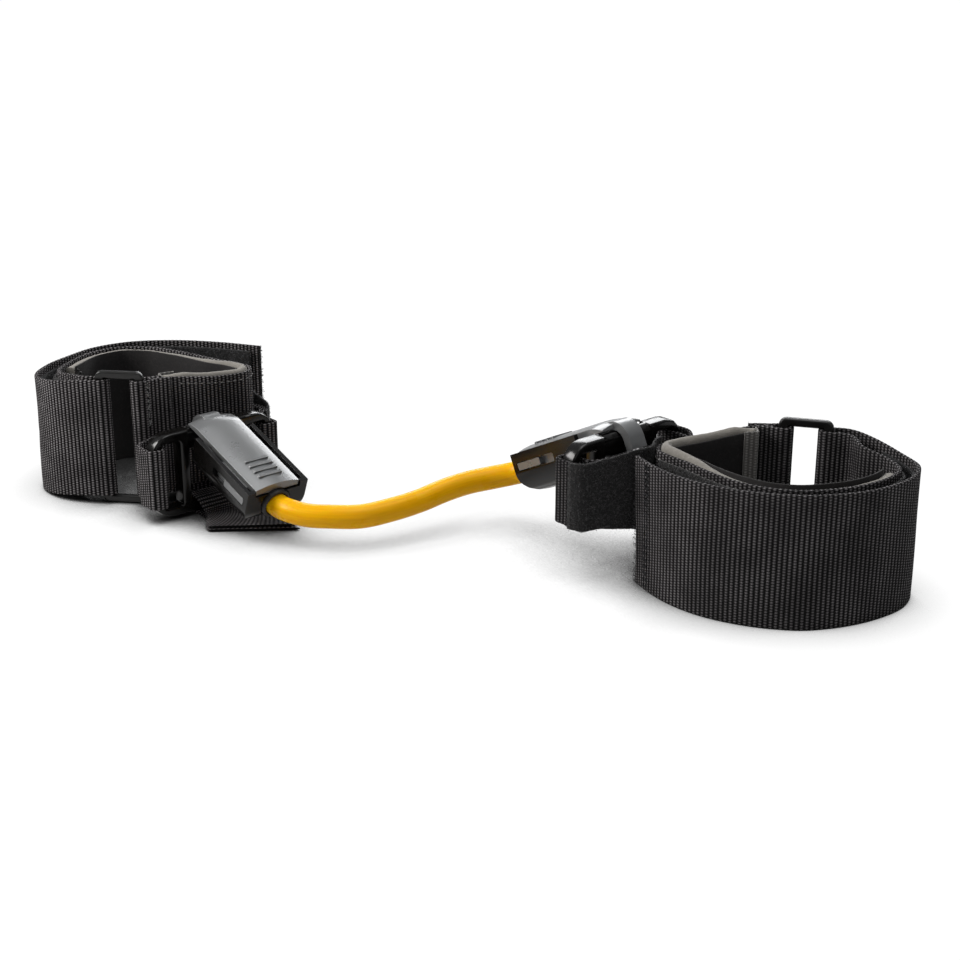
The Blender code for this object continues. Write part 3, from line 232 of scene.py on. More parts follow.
def effect_group(name, inputs, outputs):
    """An empty shader group with named values in and out."""
    group = bpy.data.node_groups.new(name, "ShaderNodeTree")
    for label, value in inputs.items():
        group.interface.new_socket(label, in_out="INPUT", socket_type="NodeSocketFloat").default_value = value
    for label in outputs:
        group.interface.new_socket(label, in_out="OUTPUT", socket_type="NodeSocketFloat")
    return group, group.nodes.new("NodeGroupInput").outputs, group.nodes.new("NodeGroupOutput").inputs


def webbing_weave_group():
    """Ribs across a woven band with the beads of each rib, read from the band's own map in metres."""
    group, given, out = effect_group(
        "webbing_weave", {"Rib Pitch": RIB, "Bead Pitch": BEAD}, ("Height", "Crest", "Wear")
    )
    place = node(group, "ShaderNodeUVMap", uv_map="weave").outputs["UV"]
    parts = node(group, "ShaderNodeSeparateXYZ", {"Vector": place}).outputs
    along = calc(group, "DIVIDE", parts["X"], given["Rib Pitch"])
    parity = calc(group, "MODULO", calc(group, "FLOOR", along), 2.0)
    across = calc(group, "ADD", calc(group, "DIVIDE", parts["Y"], given["Bead Pitch"]), times(group, parity, 0.5))
    rib = calc(group, "ABSOLUTE", calc(group, "SINE", times(group, along, math.pi)))
    bead = calc(group, "ABSOLUTE", calc(group, "SINE", times(group, across, math.pi)))
    crest = times(group, calc(group, "POWER", rib, 0.9), calc(group, "MULTIPLY_ADD", bead, 0.62, 0.38))
    patches = cloud(group, place, 60.0, 3.0)
    yarn = cloud(group, place, 2600.0, 2.0)
    give(group, out, Height=calc(group, "MULTIPLY_ADD", yarn, 0.25, crest), Crest=calc(group, "POWER", crest, 3.2),
         Wear=ramp(group, patches, 0.35, 0.70))
    return group


def fine_grain_group():
    """A fine grain with broad patches, in the piece's own space."""
    group, given, out = effect_group(
        "fine_grain", {"Grain Scale": 1500.0, "Patch Scale": 60.0}, ("Height", "Patches", "Specks")
    )
    place = node(group, "ShaderNodeTexCoord").outputs["Object"]
    grain = cloud(group, place, given["Grain Scale"], 4.0, 0.6)
    patches = cloud(group, place, given["Patch Scale"], 5.0, 0.65)
    specks = node(group, "ShaderNodeTexVoronoi", {"Vector": place, "Scale": 420.0}).outputs["Distance"]
    give(group, out, Height=grain, Patches=ramp(group, patches, 0.38, 0.66),
         Specks=ramp(group, specks, 0.05, 0.11, 1.0, 0.0))
    return group


def pile_group():
    """The curls of a brushed cloth, in the piece's own space."""
    group, given, out = effect_group("cloth_pile", {"Curl Scale": 1400.0}, ("Height", "Tips"))
    place = node(group, "ShaderNodeTexCoord").outputs["Object"]
    swirl = cloud(group, place, 500.0, 2.0, output="Color")
    moved = node(group, "ShaderNodeVectorMath", {0: swirl, "Scale": 0.0016}, operation="SCALE").outputs[0]
    moved = node(group, "ShaderNodeVectorMath", {0: place, 1: moved}, operation="ADD").outputs[0]
    curls = node(group, "ShaderNodeTexVoronoi", {"Vector": moved, "Scale": given["Curl Scale"]},
                 feature="SMOOTH_F1").outputs["Distance"]
    fluff = cloud(group, moved, 900.0, 5.0, 0.7)
    height = calc(group, "MULTIPLY_ADD", fluff, 0.8, calc(group, "SUBTRACT", 1.0, curls))
    give(group, out, Height=height, Tips=ramp(group, fluff, 0.50, 0.78))
    return group


WEAVE = webbing_weave_group()
GRAIN = fine_grain_group()
PILE = pile_group()


def new_material(name, roughness, metallic=0.0, **constants):
    """A material with its Principled shader and constants on the shader's own sockets."""
    made = bpy.data.materials.new(name)
    made.use_nodes = True
    shader = made.node_tree.nodes["Principled BSDF"]
    shader.inputs["Roughness"].default_value = roughness
    shader.inputs["Metallic"].default_value = metallic
    for key, value in constants.items():
        shader.inputs[key.replace("_", " ")].default_value = value
    return made, made.node_tree, shader


def placed(tree, group, **values):
    """A group placed in a material with its own values."""
    made = node(tree, "ShaderNodeGroup", node_tree=group)
    for key, value in values.items():
        made.inputs[key.replace("_", " ")].default_value = value
    return made.outputs


def blended(tree, share, low, high):
    """Two colours mixed by a share."""
    mix = node(tree, "ShaderNodeMix", data_type="RGBA")
    tree.links.new(share, mix.inputs["Factor"])
    for key, value in (("A", low), ("B", high)):
        socket = next(item for item in mix.inputs if item.name == key and item.type == "RGBA")
        if isinstance(value, bpy.types.NodeSocket):
            tree.links.new(value, socket)
        else:
            socket.default_value = (*value, 1.0)
    return next(item for item in mix.outputs if item.type == "RGBA")


def bumped(tree, shader, height, strength, distance):
    """A bump from a height into the shader's normal."""
    bump = node(tree, "ShaderNodeBump", {"Height": height, "Strength": strength, "Distance": distance})
    give(tree, shader.inputs, Normal=bump.outputs["Normal"])


def webbing_look(name, shaded_valley, crest, worn, roughness, sheen):
    """Woven polyester webbing: valleys deepened as painted shade, bead tips lightened as a painted highlight, worn
    patches.
    """
    made, tree, shader = new_material(name, roughness, Sheen_Weight=sheen, Sheen_Roughness=0.4,
                                      Specular_IOR_Level=0.10)
    weave = placed(tree, WEAVE)
    # The crest colour on the bead tips is a painted highlight, and the valleys' colour is painted shade.
    colour = blended(tree, weave["Crest"], shaded_valley, crest)
    share = times(tree, times(tree, weave["Wear"], weave["Crest"]), 0.6)
    give(tree, shader.inputs, Base_Color=blended(tree, share, colour, worn),
         Roughness=ramp(tree, weave["Crest"], 0.0, 1.0, 0.85, roughness - 0.15))
    bumped(tree, shader, weave["Height"], 0.9, 0.00022)
    return made


def pile_look(name, deep, tips, curl, strength, distance, roughness=0.9, sheen=0.3):
    """Brushed, knitted or hooked cloth, with painted shade in its hollows and a painted highlight on its raised fluff.
    """
    made, tree, shader = new_material(name, roughness, Sheen_Weight=sheen, Sheen_Roughness=0.5)
    pile = placed(tree, PILE, Curl_Scale=curl)
    # The first colour is painted shade in the pile's hollows; the second is a painted highlight on its raised fluff.
    give(tree, shader.inputs, Base_Color=blended(tree, pile["Tips"], deep, tips))
    bumped(tree, shader, pile["Height"], strength, distance)
    return made


def foam_look():
    """Light gray foam: open pores, faint yellowing and grime in patches."""
    made, tree, shader = new_material("pad_foam_gray", 0.9, Sheen_Weight=0.15)
    pile = placed(tree, PILE, Curl_Scale=900.0)
    grain = placed(tree, GRAIN, Grain_Scale=2400.0, Patch_Scale=90.0)
    # The pores' darker colour is painted shade, and the raised foam's lighter colour a painted highlight.
    colour = blended(tree, pile["Tips"], (0.200, 0.186, 0.164), (0.300, 0.284, 0.256))
    share = times(tree, grain["Patches"], 0.5)
    give(tree, shader.inputs, Base_Color=blended(tree, share, colour, (0.150, 0.140, 0.125)))
    bumped(tree, shader, calc(tree, "ADD", pile["Height"], grain["Height"]), 0.5, 0.00020)
    return made


def moulded_look(name, colour, patched, low_rough, high_rough, grain_scale, bump, **constants):
    """Moulded plastic or rubber: fine mould grain, handled patches, a few dust specks."""
    made, tree, shader = new_material(name, low_rough, **constants)
    grain = placed(tree, GRAIN, Grain_Scale=grain_scale, Patch_Scale=70.0)
    base = blended(tree, grain["Patches"], colour, patched)
    share = times(tree, grain["Specks"], 0.03)
    give(tree, shader.inputs, Base_Color=blended(tree, share, base, (0.35, 0.34, 0.32)),
         Roughness=ramp(tree, grain["Patches"], 0.0, 1.0, low_rough, high_rough))
    bumped(tree, shader, grain["Height"], bump, 0.00006)
    return made


def latex_look():
    """Amber latex: clear depth, drawn streaks along the tube, a dusting of talc."""
    made, tree, shader = new_material("amber_latex_tube", 0.34, Subsurface_Weight=0.55, Subsurface_Scale=0.004,
                                      Subsurface_Radius=(1.0, 0.55, 0.04), Specular_IOR_Level=0.13)
    place = node(tree, "ShaderNodeUVMap", uv_map="weave").outputs["UV"]
    drawn = node(tree, "ShaderNodeVectorMath", {0: place, 1: (14.0, 320.0, 1.0)}, operation="MULTIPLY").outputs[0]
    streaks = cloud(tree, drawn, 3.0, 5.0)
    grain = placed(tree, GRAIN, Grain_Scale=900.0, Patch_Scale=55.0)
    colour = blended(tree, ramp(tree, streaks, 0.35, 0.65), (0.80, 0.385, 0.0012), (0.90, 0.455, 0.0018))
    share = times(tree, grain["Patches"], 0.25)
    give(tree, shader.inputs, Base_Color=blended(tree, share, colour, (0.86, 0.48, 0.006)),
         Roughness=ramp(tree, grain["Patches"], 0.0, 1.0, 0.26, 0.42))
    bumped(tree, shader, calc(tree, "MULTIPLY_ADD", grain["Height"], 0.4, streaks), 0.18, 0.00006)
    return made


def wire_look():
    """Drawn spring wire: fine lines and a warm tarnish."""
    made, tree, shader = new_material("spring_wire", 0.28, 1.0)
    grain = placed(tree, GRAIN, Grain_Scale=3000.0, Patch_Scale=200.0)
    give(tree, shader.inputs, Base_Color=blended(tree, grain["Patches"], (0.55, 0.55, 0.56), (0.42, 0.40, 0.37)))
    bumped(tree, shader, grain["Height"], 0.2, 0.00003)
    return made


# Each webbing look takes its valleys' colour, deepened as painted shade, then its bead tips' colour, a painted
# highlight, then its wear colour.
BLACK_WEBBING = webbing_look("black_webbing_weave", (0.0014, 0.0013, 0.0013), (0.180, 0.168, 0.172),
                             (0.400, 0.378, 0.385), roughness=0.62, sheen=0.0)
BINDING_WEAVE = webbing_look("gray_binding_weave", (0.110, 0.104, 0.098), (0.280, 0.268, 0.255),
                             (0.340, 0.330, 0.315), roughness=0.75, sheen=0.25)
# A lower-contrast copy of the black webbing for the right cuff: painted light, with paler valleys and dimmer bead tips
# for the flatter light on that cuff.
RIGHT_CUFF_LIGHT_WEBBING = webbing_look("right_cuff_painted_light_webbing", (0.0060, 0.0056, 0.0058), (0.125, 0.117, 0.120),
                               (0.270, 0.255, 0.260), roughness=0.68, sheen=0.0)
# A darker, lower-contrast copy of the black webbing for the right cuff's keepers: painted shade.
SHADED_KEEPER_WEBBING = webbing_look("right_keeper_painted_shade_webbing", (0.0050, 0.0046, 0.0048), (0.080, 0.075, 0.077),
                              (0.200, 0.190, 0.194), roughness=0.66, sheen=0.0)
# Each pile look's first colour is painted shade in its hollows and its second a painted highlight on its raised fluff.
PAD_LINING = pile_look("pad_lining_knit", (0.0070, 0.0058, 0.0058), (0.0230, 0.0190, 0.0190), 2400.0, 0.5, 0.00010,
                       sheen=0.05)
LOOP_PILE = pile_look("loop_pile", (0.0020, 0.0018, 0.0018), (0.045, 0.042, 0.044), 1500.0, 1.0, 0.00045, sheen=0.08)
HOOK_PILE = pile_look("hook_pile", (0.0020, 0.0019, 0.0022), (0.075, 0.075, 0.082), 1900.0, 0.9, 0.00030, sheen=0.05)
FOAM = foam_look()
BLACK_PLASTIC = moulded_look("black_moulding", (0.0026, 0.0023, 0.0021), (0.0042, 0.0038, 0.0035), 0.16, 0.24,
                             2600.0, 0.06, Specular_IOR_Level=0.34)
RING_PLASTIC = moulded_look("ring_moulding", (0.0050, 0.0045, 0.0042), (0.0090, 0.0085, 0.0080), 0.28, 0.42,
                            2200.0, 0.20)
GRAY_PLASTIC = moulded_look("gray_moulding", (0.215, 0.218, 0.221), (0.228, 0.231, 0.233), 0.27, 0.30, 2600.0,
                            0.10, metallic=0.55)
BLACK_RUBBER = moulded_look("black_rubber_collar", (0.0070, 0.0070, 0.0072), (0.015, 0.015, 0.0155), 0.45, 0.68,
                            1600.0, 0.30)
PLUG_PLASTIC = moulded_look("plug_moulding", (0.560, 0.555, 0.530), (0.480, 0.470, 0.440), 0.35, 0.50, 2000.0,
                            0.15)
LATEX = latex_look()
SPRING_WIRE = wire_look()
# The thread looks also paint shade into their valleys and a highlight onto their bead tips.
THREAD = webbing_look("sewing_thread", (0.20, 0.20, 0.20), (0.55, 0.55, 0.54), (0.62, 0.62, 0.60), 0.6, 0.1)
DARK_THREAD = webbing_look("black_sewing_thread", (0.010, 0.010, 0.011), (0.050, 0.050, 0.054),
                           (0.075, 0.075, 0.08), 0.5, 0.1)
PALE_THREAD = webbing_look("pale_sewing_thread", (0.120, 0.116, 0.112), (0.360, 0.350, 0.340),
                           (0.420, 0.410, 0.400), 0.5, 0.1)
# Painted shade in the hollows and a painted highlight on the raised fluff, as in the other pile looks.
LOOSE_FIBRE = pile_look("loose_fibre", (0.045, 0.043, 0.045), (0.200, 0.195, 0.200), 900.0, 0.1, 0.00005,
                        roughness=0.6, sheen=0.1)


def ease(share):
    """A smooth step from 0 to 1."""
    share = min(1.0, max(0.0, share))
    return share * share * (3.0 - 2.0 * share)


def smooth_line(points, spans=14):
    """Close points on a smooth curve through given ones."""
    points = [Vector(point) for point in points]
    marks = [0.0]
    for first, second in zip(points, points[1:]):
        marks.append(marks[-1] + (second - first).length)
    slopes = [(second - first) / (b - a) for first, second, a, b in zip(points, points[1:], marks, marks[1:])]
    tangents = [slopes[0]]
    for index in range(1, len(points) - 1):
        before = marks[index] - marks[index - 1]
        after = marks[index + 1] - marks[index]
        tangents.append((slopes[index - 1] * after + slopes[index] * before) / (before + after))
    tangents.append(slopes[-1])
    line = []
    for index in range(len(points) - 1):
        run = marks[index + 1] - marks[index]
        for step in range(spans):
            t = step / spans
            line.append(
                points[index] * (2 * t**3 - 3 * t**2 + 1) + tangents[index] * run * (t**3 - 2 * t**2 + t)
                + points[index + 1] * (3 * t**2 - 2 * t**3) + tangents[index + 1] * run * (t**3 - t**2)
            )
    line.append(points[-1])
    return line


def outward(direction):
    """The side of a plan direction that faces out of a cuff whose strap runs counterclockwise."""
    return Vector((direction.y, -direction.x))


def raised(plan, up=0.0):
    """A plan vector with a height of its own."""
    return Vector((plan.x, plan.y, up))


class Route:
    """A line that can be walked by distance, with a direction that turns evenly."""

    def __init__(self, line):
        self.line = line
        self.marks = [0.0]
        for first, second in zip(line, line[1:]):
            self.marks.append(self.marks[-1] + (second - first).length)
        self.length = self.marks[-1]
        steps = [(second - first).normalized() for first, second in zip(line, line[1:])]
        self.directions = [steps[0]]
        self.directions += [(before + after).normalized() for before, after in zip(steps, steps[1:])]
        self.directions.append(steps[-1])
        self.at = 0

    def place(self, distance):
        """The point and the direction at a distance, straight on past either end."""
        index = min(self.at, len(self.line) - 2)
        if self.marks[index] > distance:
            index = 0
        while index < len(self.line) - 2 and self.marks[index + 1] < distance:
            index += 1
        self.at = index
        run = self.marks[index + 1] - self.marks[index]
        share = (distance - self.marks[index]) / run
        here = self.line[index].lerp(self.line[index + 1], share)
        if share < 0.0 or share > 1.0:
            step = (self.line[index + 1] - self.line[index]).normalized()
            here = self.line[index] + step * (distance - self.marks[index])
        turned = self.directions[index].lerp(self.directions[index + 1], min(1.0, max(0.0, share)))
        return here, turned.normalized()

    def nearest(self, point):
        """The distance along the line of its point that lies closest."""
        index = min(range(len(self.line)), key=lambda item: (self.line[item] - point).length)
        return self.marks[index]


def stops_between(start, end, step):
    """Even distances from start to end."""
    count = max(2, round((end - start) / step))
    return [start + (end - start) * index / count for index in range(count + 1)]


class Station:
    """One place along an upright band: where it is, which way its outside faces, its foot, height and lean."""

    def __init__(self, point, side, low, height, lean=0.0, along=0.0):
        self.point = point
        self.side = side
        self.low = low
        self.height = height
        self.lean = lean
        self.along = along

    def spot(self, across, up):
        """A point of the section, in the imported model's frame."""
        plan = self.point + self.side * (across + self.lean * up / self.height)
        return raised(plan, self.low + up) - PLAN_SHIFT


def band_section(thick, corner, rows, offset=0.0):
    """A band's section for any station, as (across, up) points: up its inner face, over and down its outer face."""
    half = thick / 2
    k = corner * 0.30

    def section(station):
        height = station.height
        ups = [corner + (height - 2 * corner) * row / rows for row in range(rows + 1)]
        points = [(-half, up) for up in ups]
        points += [(-half + k, height - k), (0.0, height), (half - k, height - k)]
        points += [(half, up) for up in reversed(ups)]
        points += [(half - k, k), (0.0, 0.0), (-half + k, k)]
        return [(across + offset, up) for across, up in points]
    return section


def mapped_shape():
    """An empty shape and the map that the weave reads."""
    shape = bmesh.new()
    return shape, shape.loops.layers.uv.new("weave")


def skin(shape, layer, rings, along, around, closed=False):
    """Smooth faces from ring to ring, mapped by each ring's distance along and each corner's distance around."""
    count = len(rings[0])
    for index in range(len(rings) if closed else len(rings) - 1):
        second = (index + 1) % len(rings)
        for corner in range(count):
            following = (corner + 1) % count
            face = shape.faces.new((rings[index][corner], rings[index][following], rings[second][following],
                                    rings[second][corner]))
            face.smooth = True
            low, high = around(index, corner), around(index, corner + 1)
            values = ((along[index], low), (along[index], high), (along[second], high), (along[second], low))
            for loop, value in zip(face.loops, values):
                loop[layer].uv = value


def finished(name, shape, turned_out=True):
    """The mesh of a shape, with its faces turned outwards."""
    if turned_out:
        bmesh.ops.recalc_face_normals(shape, faces=shape.faces)
    mesh = bpy.data.meshes.new(name)
    shape.to_mesh(mesh)
    shape.free()
    return mesh


def sew_band(name, stations, section, shift):
    """A closed band through its stations, mapped along and across in metres."""
    shape, layer = mapped_shape()
    rings, rounds = [], []
    for station in stations:
        outline = section(station)
        marks = [0.0]
        for (a, b), (c, d) in zip(outline, outline[1:] + outline[:1]):
            marks.append(marks[-1] + math.hypot(c - a, d - b))
        rounds.append(marks)
        rings.append([shape.verts.new(station.spot(*shift(station, across, up))) for across, up in outline])
    skin(shape, layer, rings, [station.along for station in stations], lambda index, corner: rounds[index][corner])
    shape.faces.new(rings[0])
    shape.faces.new(list(reversed(rings[-1])))
    return finished(name, shape)


def new_object(name, data):
    """An object in the scene."""
    made = bpy.data.objects.new(name, data)
    bpy.context.scene.collection.objects.link(made)
    return made


def piece(name, mesh, finish, body, stands_for=()):
    """A finished piece of the scene, riding on its body and standing for its solids."""
    made = new_object(name, mesh)
    mesh.materials.append(finish)
    if body:
        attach(made, body)
    if stands_for:
        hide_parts(*stands_for)
    return made


def wander(along, up, scale, depth, seed):
    """Slow unevenness of sewn cloth."""
    return noise.noise(Vector((along * scale, up * scale, seed))) * depth


def ribbed(depth, drift, seed, crease=0.0):
    """The surface of a woven band: ribs on both faces, beads along its edges, a slow drift and a pressed crease."""
    def shift(station, across, up):
        rib = abs(math.sin(math.pi * station.along / RIB)) ** 0.7
        face = 1.0 if across > 0.0 else -1.0
        middle = 1.0 - min(1.0, abs(up / station.height - 0.5) * 2.0) ** 6
        moved = across + face * depth * (rib - 1.0) * middle
        moved += wander(station.along, up, 55.0, drift, seed)
        if crease:
            moved += crease * math.exp(-((up - station.height * 0.47) / 0.0016) ** 2)
        edge = min(up, station.height - up)
        bead = depth * 0.5 * rib * math.exp(-edge / 0.0006)
        return moved, up + (bead if up > station.height / 2 else -min(bead, station.low))
    return shift


def stitch_mesh(name, stitches, width):
    """Thread stitches, each from one point to another over a surface whose outside is given."""
    shape, layer = mapped_shape()
    for start, end, out in stitches:
        run = (end - start).length
        along = (end - start).normalized()
        cross = along.cross(out).normalized()
        rings = []
        for step in range(STITCH_STEPS + 1):
            share = step / STITCH_STEPS
            arch = math.sin(math.pi * share)
            radius = width / 2 * (0.45 + 0.55 * arch ** 0.5)
            centre = start + along * run * share + out * (arch * width * 0.75 - width * 0.45)
            ring = []
            for side in range(STITCH_SIDES):
                angle = 2 * math.pi * side / STITCH_SIDES + share * 2.4
                ring.append(shape.verts.new(centre + (cross * math.cos(angle) + out * math.sin(angle)) * radius))
            rings.append(ring)
        along_marks = [step * run / STITCH_STEPS for step in range(STITCH_STEPS + 1)]
        skin(shape, layer, rings, along_marks, lambda index, side: side * width / 2)
        shape.faces.new(list(reversed(rings[0])))
        shape.faces.new(rings[-1])
    return finished(name, shape)


def fibre_mesh(name, roots, seed, longest, width):
    """Loose fibres and pulled loops standing from a cloth, each a short curled ribbon."""
    chance = random.Random(seed)
    shape = bmesh.new()
    for root, out in roots:
        aside = out.cross(Vector([chance.uniform(-1, 1) for _ in range(3)])).normalized()
        flat = out.cross(aside).normalized() * width / 2
        rise = longest * chance.uniform(0.45, 1.0)
        curl = chance.uniform(0.5, 1.3)
        spots = [root - out * 0.0001]
        for up, away in ((0.55, 0.10), (0.85, 0.50), (0.55, 0.90)):
            spots.append(root + out * rise * up + aside * rise * away * curl)
        edges = [(shape.verts.new(spot - flat), shape.verts.new(spot + flat)) for spot in spots]
        for (a, b), (c, d) in zip(edges, edges[1:]):
            shape.faces.new((a, b, d, c)).smooth = True
    return finished(name, shape, turned_out=False)


def folded_line(route, half_turn, apex, corner, half_joined, merge, outer_end, inner_end):
    """The line of a band folded round a bar at the route's start, its legs joining as they leave it."""
    def leg(end, sign):
        points = []
        for stop in stops_between(0.0, end, 0.0012):
            point, direction = route.place(stop)
            half = half_turn + (half_joined - half_turn) * ease((stop - merge[0]) / (merge[1] - merge[0]))
            points.append(point + outward(direction) * half * sign)
        return points
    start, direction = route.place(0.0)
    side = outward(direction)
    bend = []
    for sign in (1.0, -1.0):
        quarter = []
        for step in range(7):
            angle = math.pi / 2 * step / 6
            across = half_turn - corner + corner * math.cos(angle)
            ahead = apex - corner + corner * math.sin(angle)
            quarter.append(start + side * across * sign - direction * ahead)
        bend += quarter if sign > 0 else list(reversed(quarter))
    outer = list(reversed(leg(outer_end, 1.0)))
    inner = leg(inner_end, -1.0)
    line = []
    for point in outer + bend + inner:
        if not line or (point - line[-1]).length > 0.00008:
            line.append(point)
    return Route(line), Route(outer)


def line_stations(route, low, height, step=RIB_STEP):
    """Stations of an upright band at even steps along its line."""
    made = []
    for stop in stops_between(0.0, route.length, step):
        point, direction = route.place(stop)
        made.append(Station(point, outward(direction), low, height, 0.0, stop))
    return made


class Cuff:
    """The sewn pieces of one ankle cuff, laid on the same lines as its solids."""

    def __init__(self, side):
        self.side = side
        self.body = f"{side}_cuff"
        self.layout = CUFFS[side]
        self.along = Vector((math.cos(PLATE_AZIMUTH), math.sin(PLATE_AZIMUTH)))
        self.back = Vector((-self.along.y, self.along.x)) * (1.0 if side == "left" else -1.0)
        self.plate = Vector(self.layout["plate"])
        self.bottom = self.layout["plate_bottom"]
        azimuth = math.radians(self.layout["ring_azimuth"])
        self.ring_along = Vector((math.cos(azimuth), math.sin(azimuth)))
        self.ring_out = Vector((-self.ring_along.y, self.ring_along.x))
        reach = (RING_LENGTH - RING_BAR) / 2
        self.first_bar = Vector(self.layout["ring"]) - self.ring_along * reach
        self.second_bar = Vector(self.layout["ring"]) + self.ring_along * reach
        self.turn = max(RING_BAR, RING_THICK) / 2 + GAP + STRAP_THICK / 2
        self.set_lines()
        self.pad_end = self.round.length * self.layout["pad_share"]

    def set_lines(self):
        """The strap's line round the ankle, and its tail's line kept clear of what lies under it."""
        away = self.ring_along * RING_LEAD
        inside = self.second_bar - self.ring_out * self.turn
        outside = self.second_bar + self.ring_out * self.turn
        self.round = Route(smooth_line([self.first_bar, *self.layout["round"], inside + away, inside]))
        layered = STRAP_THICK + GAP + LOOP_THICK + GAP + HOOK_THICK + GAP
        kept = []
        for point in smooth_line([outside, outside + away, *self.layout["tail"]]):
            foot, direction = self.round.place(self.round.nearest(point))
            away_from = point - foot
            if away_from.length < layered and away_from.dot(outward(direction)) > 0:
                wanted = foot + away_from.normalized() * layered
                point = point + (wanted - point) * ease((point - outside).length / TURN_RUN)
            kept.append(point)
        self.tail = Route(kept)

    def sewn(self, part, stations, section, shift, finish):
        """A band of this cuff, standing for its solid."""
        # The right cuff's black webbing is swapped for its lower-contrast copy: painted light for the flatter light on
        # that cuff.
        if self.side == "right" and finish is BLACK_WEBBING:
            finish = RIGHT_CUFF_LIGHT_WEBBING
        mesh = sew_band(part, stations, section, shift)
        return piece(f"{self.side}_{part}_sewn", mesh, finish, self.body, (f"{self.side}_{part}",))

    def stitched(self, name, stitches, width, finish):
        """Thread of this cuff."""
        piece(f"{self.side}_{name}", stitch_mesh(name, stitches, width), finish, self.body)

    def fluffed(self, name, roots, seed, longest, width=FIBRE_WIDTH):
        """Loose fibres of this cuff."""
        mesh = fibre_mesh(name, roots, seed, longest, width)
        piece(f"{self.side}_{name}", mesh, LOOSE_FIBRE, self.body)

    def lifted(self, distance):
        """Height of the strap's lower edge at a distance from the ring."""
        return RING_LIFT * (1.0 - ease((distance - LIFT_START) / LIFT_RUN))

    def round_station(self, stop, inset=0.0, height=STRAP_WIDTH):
        """A place on the strap's way round the ankle."""
        point, direction = self.round.place(stop)
        foot = self.lifted(min(stop, self.round.length - stop))
        return Station(point, outward(direction), foot + inset, height, 0.0, stop)

    def tail_station(self, stop, inset=0.0, height=STRAP_WIDTH):
        """A place on the tail, whose side faces the cuff and whose top edge leans out near its end."""
        point, direction = self.tail.place(stop)
        lean = self.layout["lean"] * ease(1.0 - (self.tail.length - stop) / 0.0600)
        return Station(point, outward(direction), self.lifted(stop) + inset, height, -lean * height / STRAP_WIDTH,
                       stop)

    def strap(self):
        """The main webbing with its ribs, edge beads and pressed folds."""
        stations = [self.round_station(stop) for stop in stops_between(STRAP_START, self.round.length, RIB_STEP)]
        arc = math.pi * self.turn
        for stop in stops_between(0.0, arc, RIB_STEP)[1:-1]:
            angle = math.pi * stop / arc
            across = -self.ring_out * math.cos(angle) - self.ring_along * math.sin(angle)
            stations.append(Station(self.second_bar + across * self.turn, -across, RING_LIFT, STRAP_WIDTH, 0.0,
                                    self.round.length + stop))
        tail_from = self.round.length + arc
        for stop in stops_between(0.0, self.tail.length, RIB_STEP):
            station = self.tail_station(stop)
            station.along = tail_from + stop
            stations.append(station)
        plain = ribbed(RIB_DEPTH, 0.00008, 3.1)
        creased = ribbed(RIB_DEPTH, 0.00008, 3.1, TAIL_CREASE if self.side == "left" else 0.0)

        def shift(station, across, up):
            past = station.along - tail_from
            if past < TAIL_SWELL_START:
                return plain(station, across, up)
            moved, lifted = creased(station, across, up)
            if across:
                swell = ease((past - TAIL_SWELL_START) / TAIL_SWELL_RUN)
                moved -= wander(station.along, up, *TAIL_SWELL) * swell
            return moved, lifted

        self.sewn("strap", stations, band_section(STRAP_THICK, 0.0004, 12), shift, BLACK_WEBBING)

    def pad(self):
        """Foam with soft edges, the lining on it and the binding round its end."""
        start = RING_TAB_INNER + GAP * 2 + BINDING_THICK
        foam = -(STRAP_THICK / 2 + GAP + FOAM_THICK / 2)
        lining = foam - FOAM_THICK / 2 - GAP - LINING_THICK / 2
        half = FOAM_THICK / 2

        def foam_section(station):
            top = station.height - FOAM_ROUND
            rise = station.height - 2 * FOAM_ROUND
            rows = [rise * row / FOAM_ROWS for row in range(FOAM_ROWS + 1)]
            turns = [math.pi * step / FOAM_ROWS for step in range(1, FOAM_ROWS)]
            outline = [(-half, FOAM_ROUND + row) for row in rows]
            outline += [(half * math.cos(math.pi - turn), top + FOAM_ROUND * math.sin(math.pi - turn))
                        for turn in turns]
            outline += [(half, top - row) for row in rows]
            outline += [(half * math.cos(-turn), FOAM_ROUND + FOAM_ROUND * math.sin(-turn)) for turn in turns]
            return [(across + foam, up) for across, up in outline]

        def foam_shift(station, across, up):
            loose = math.exp(-min(up, station.height - up) / 0.003)
            pressed = (across - foam) * (1.0 + 0.10 * wander(station.along, up, 240.0, 1.0, 5.5) * loose)
            if up > station.height / 2:
                uneven = wander(station.along, 0.0, 90.0, 0.0004, 2.2) + wander(station.along, 0.0, 520.0, 0.00012, 6.1)
                proud = self.layout["foam_proud"] * ease((station.along - start) / 0.010)
                proud *= 1.0 - 1.7 * ease((station.along - start - 0.055) / 0.030)
                up += (uneven + proud) * loose
            return foam + pressed, up

        stations = [self.round_station(stop) for stop in stops_between(start, self.pad_end, 0.0011)]
        self.sewn("pad_foam", stations, foam_section, foam_shift, FOAM)

        def lining_shift(station, across, up):
            return across - abs(wander(station.along, up, 70.0, 0.0004, 4.4)), up

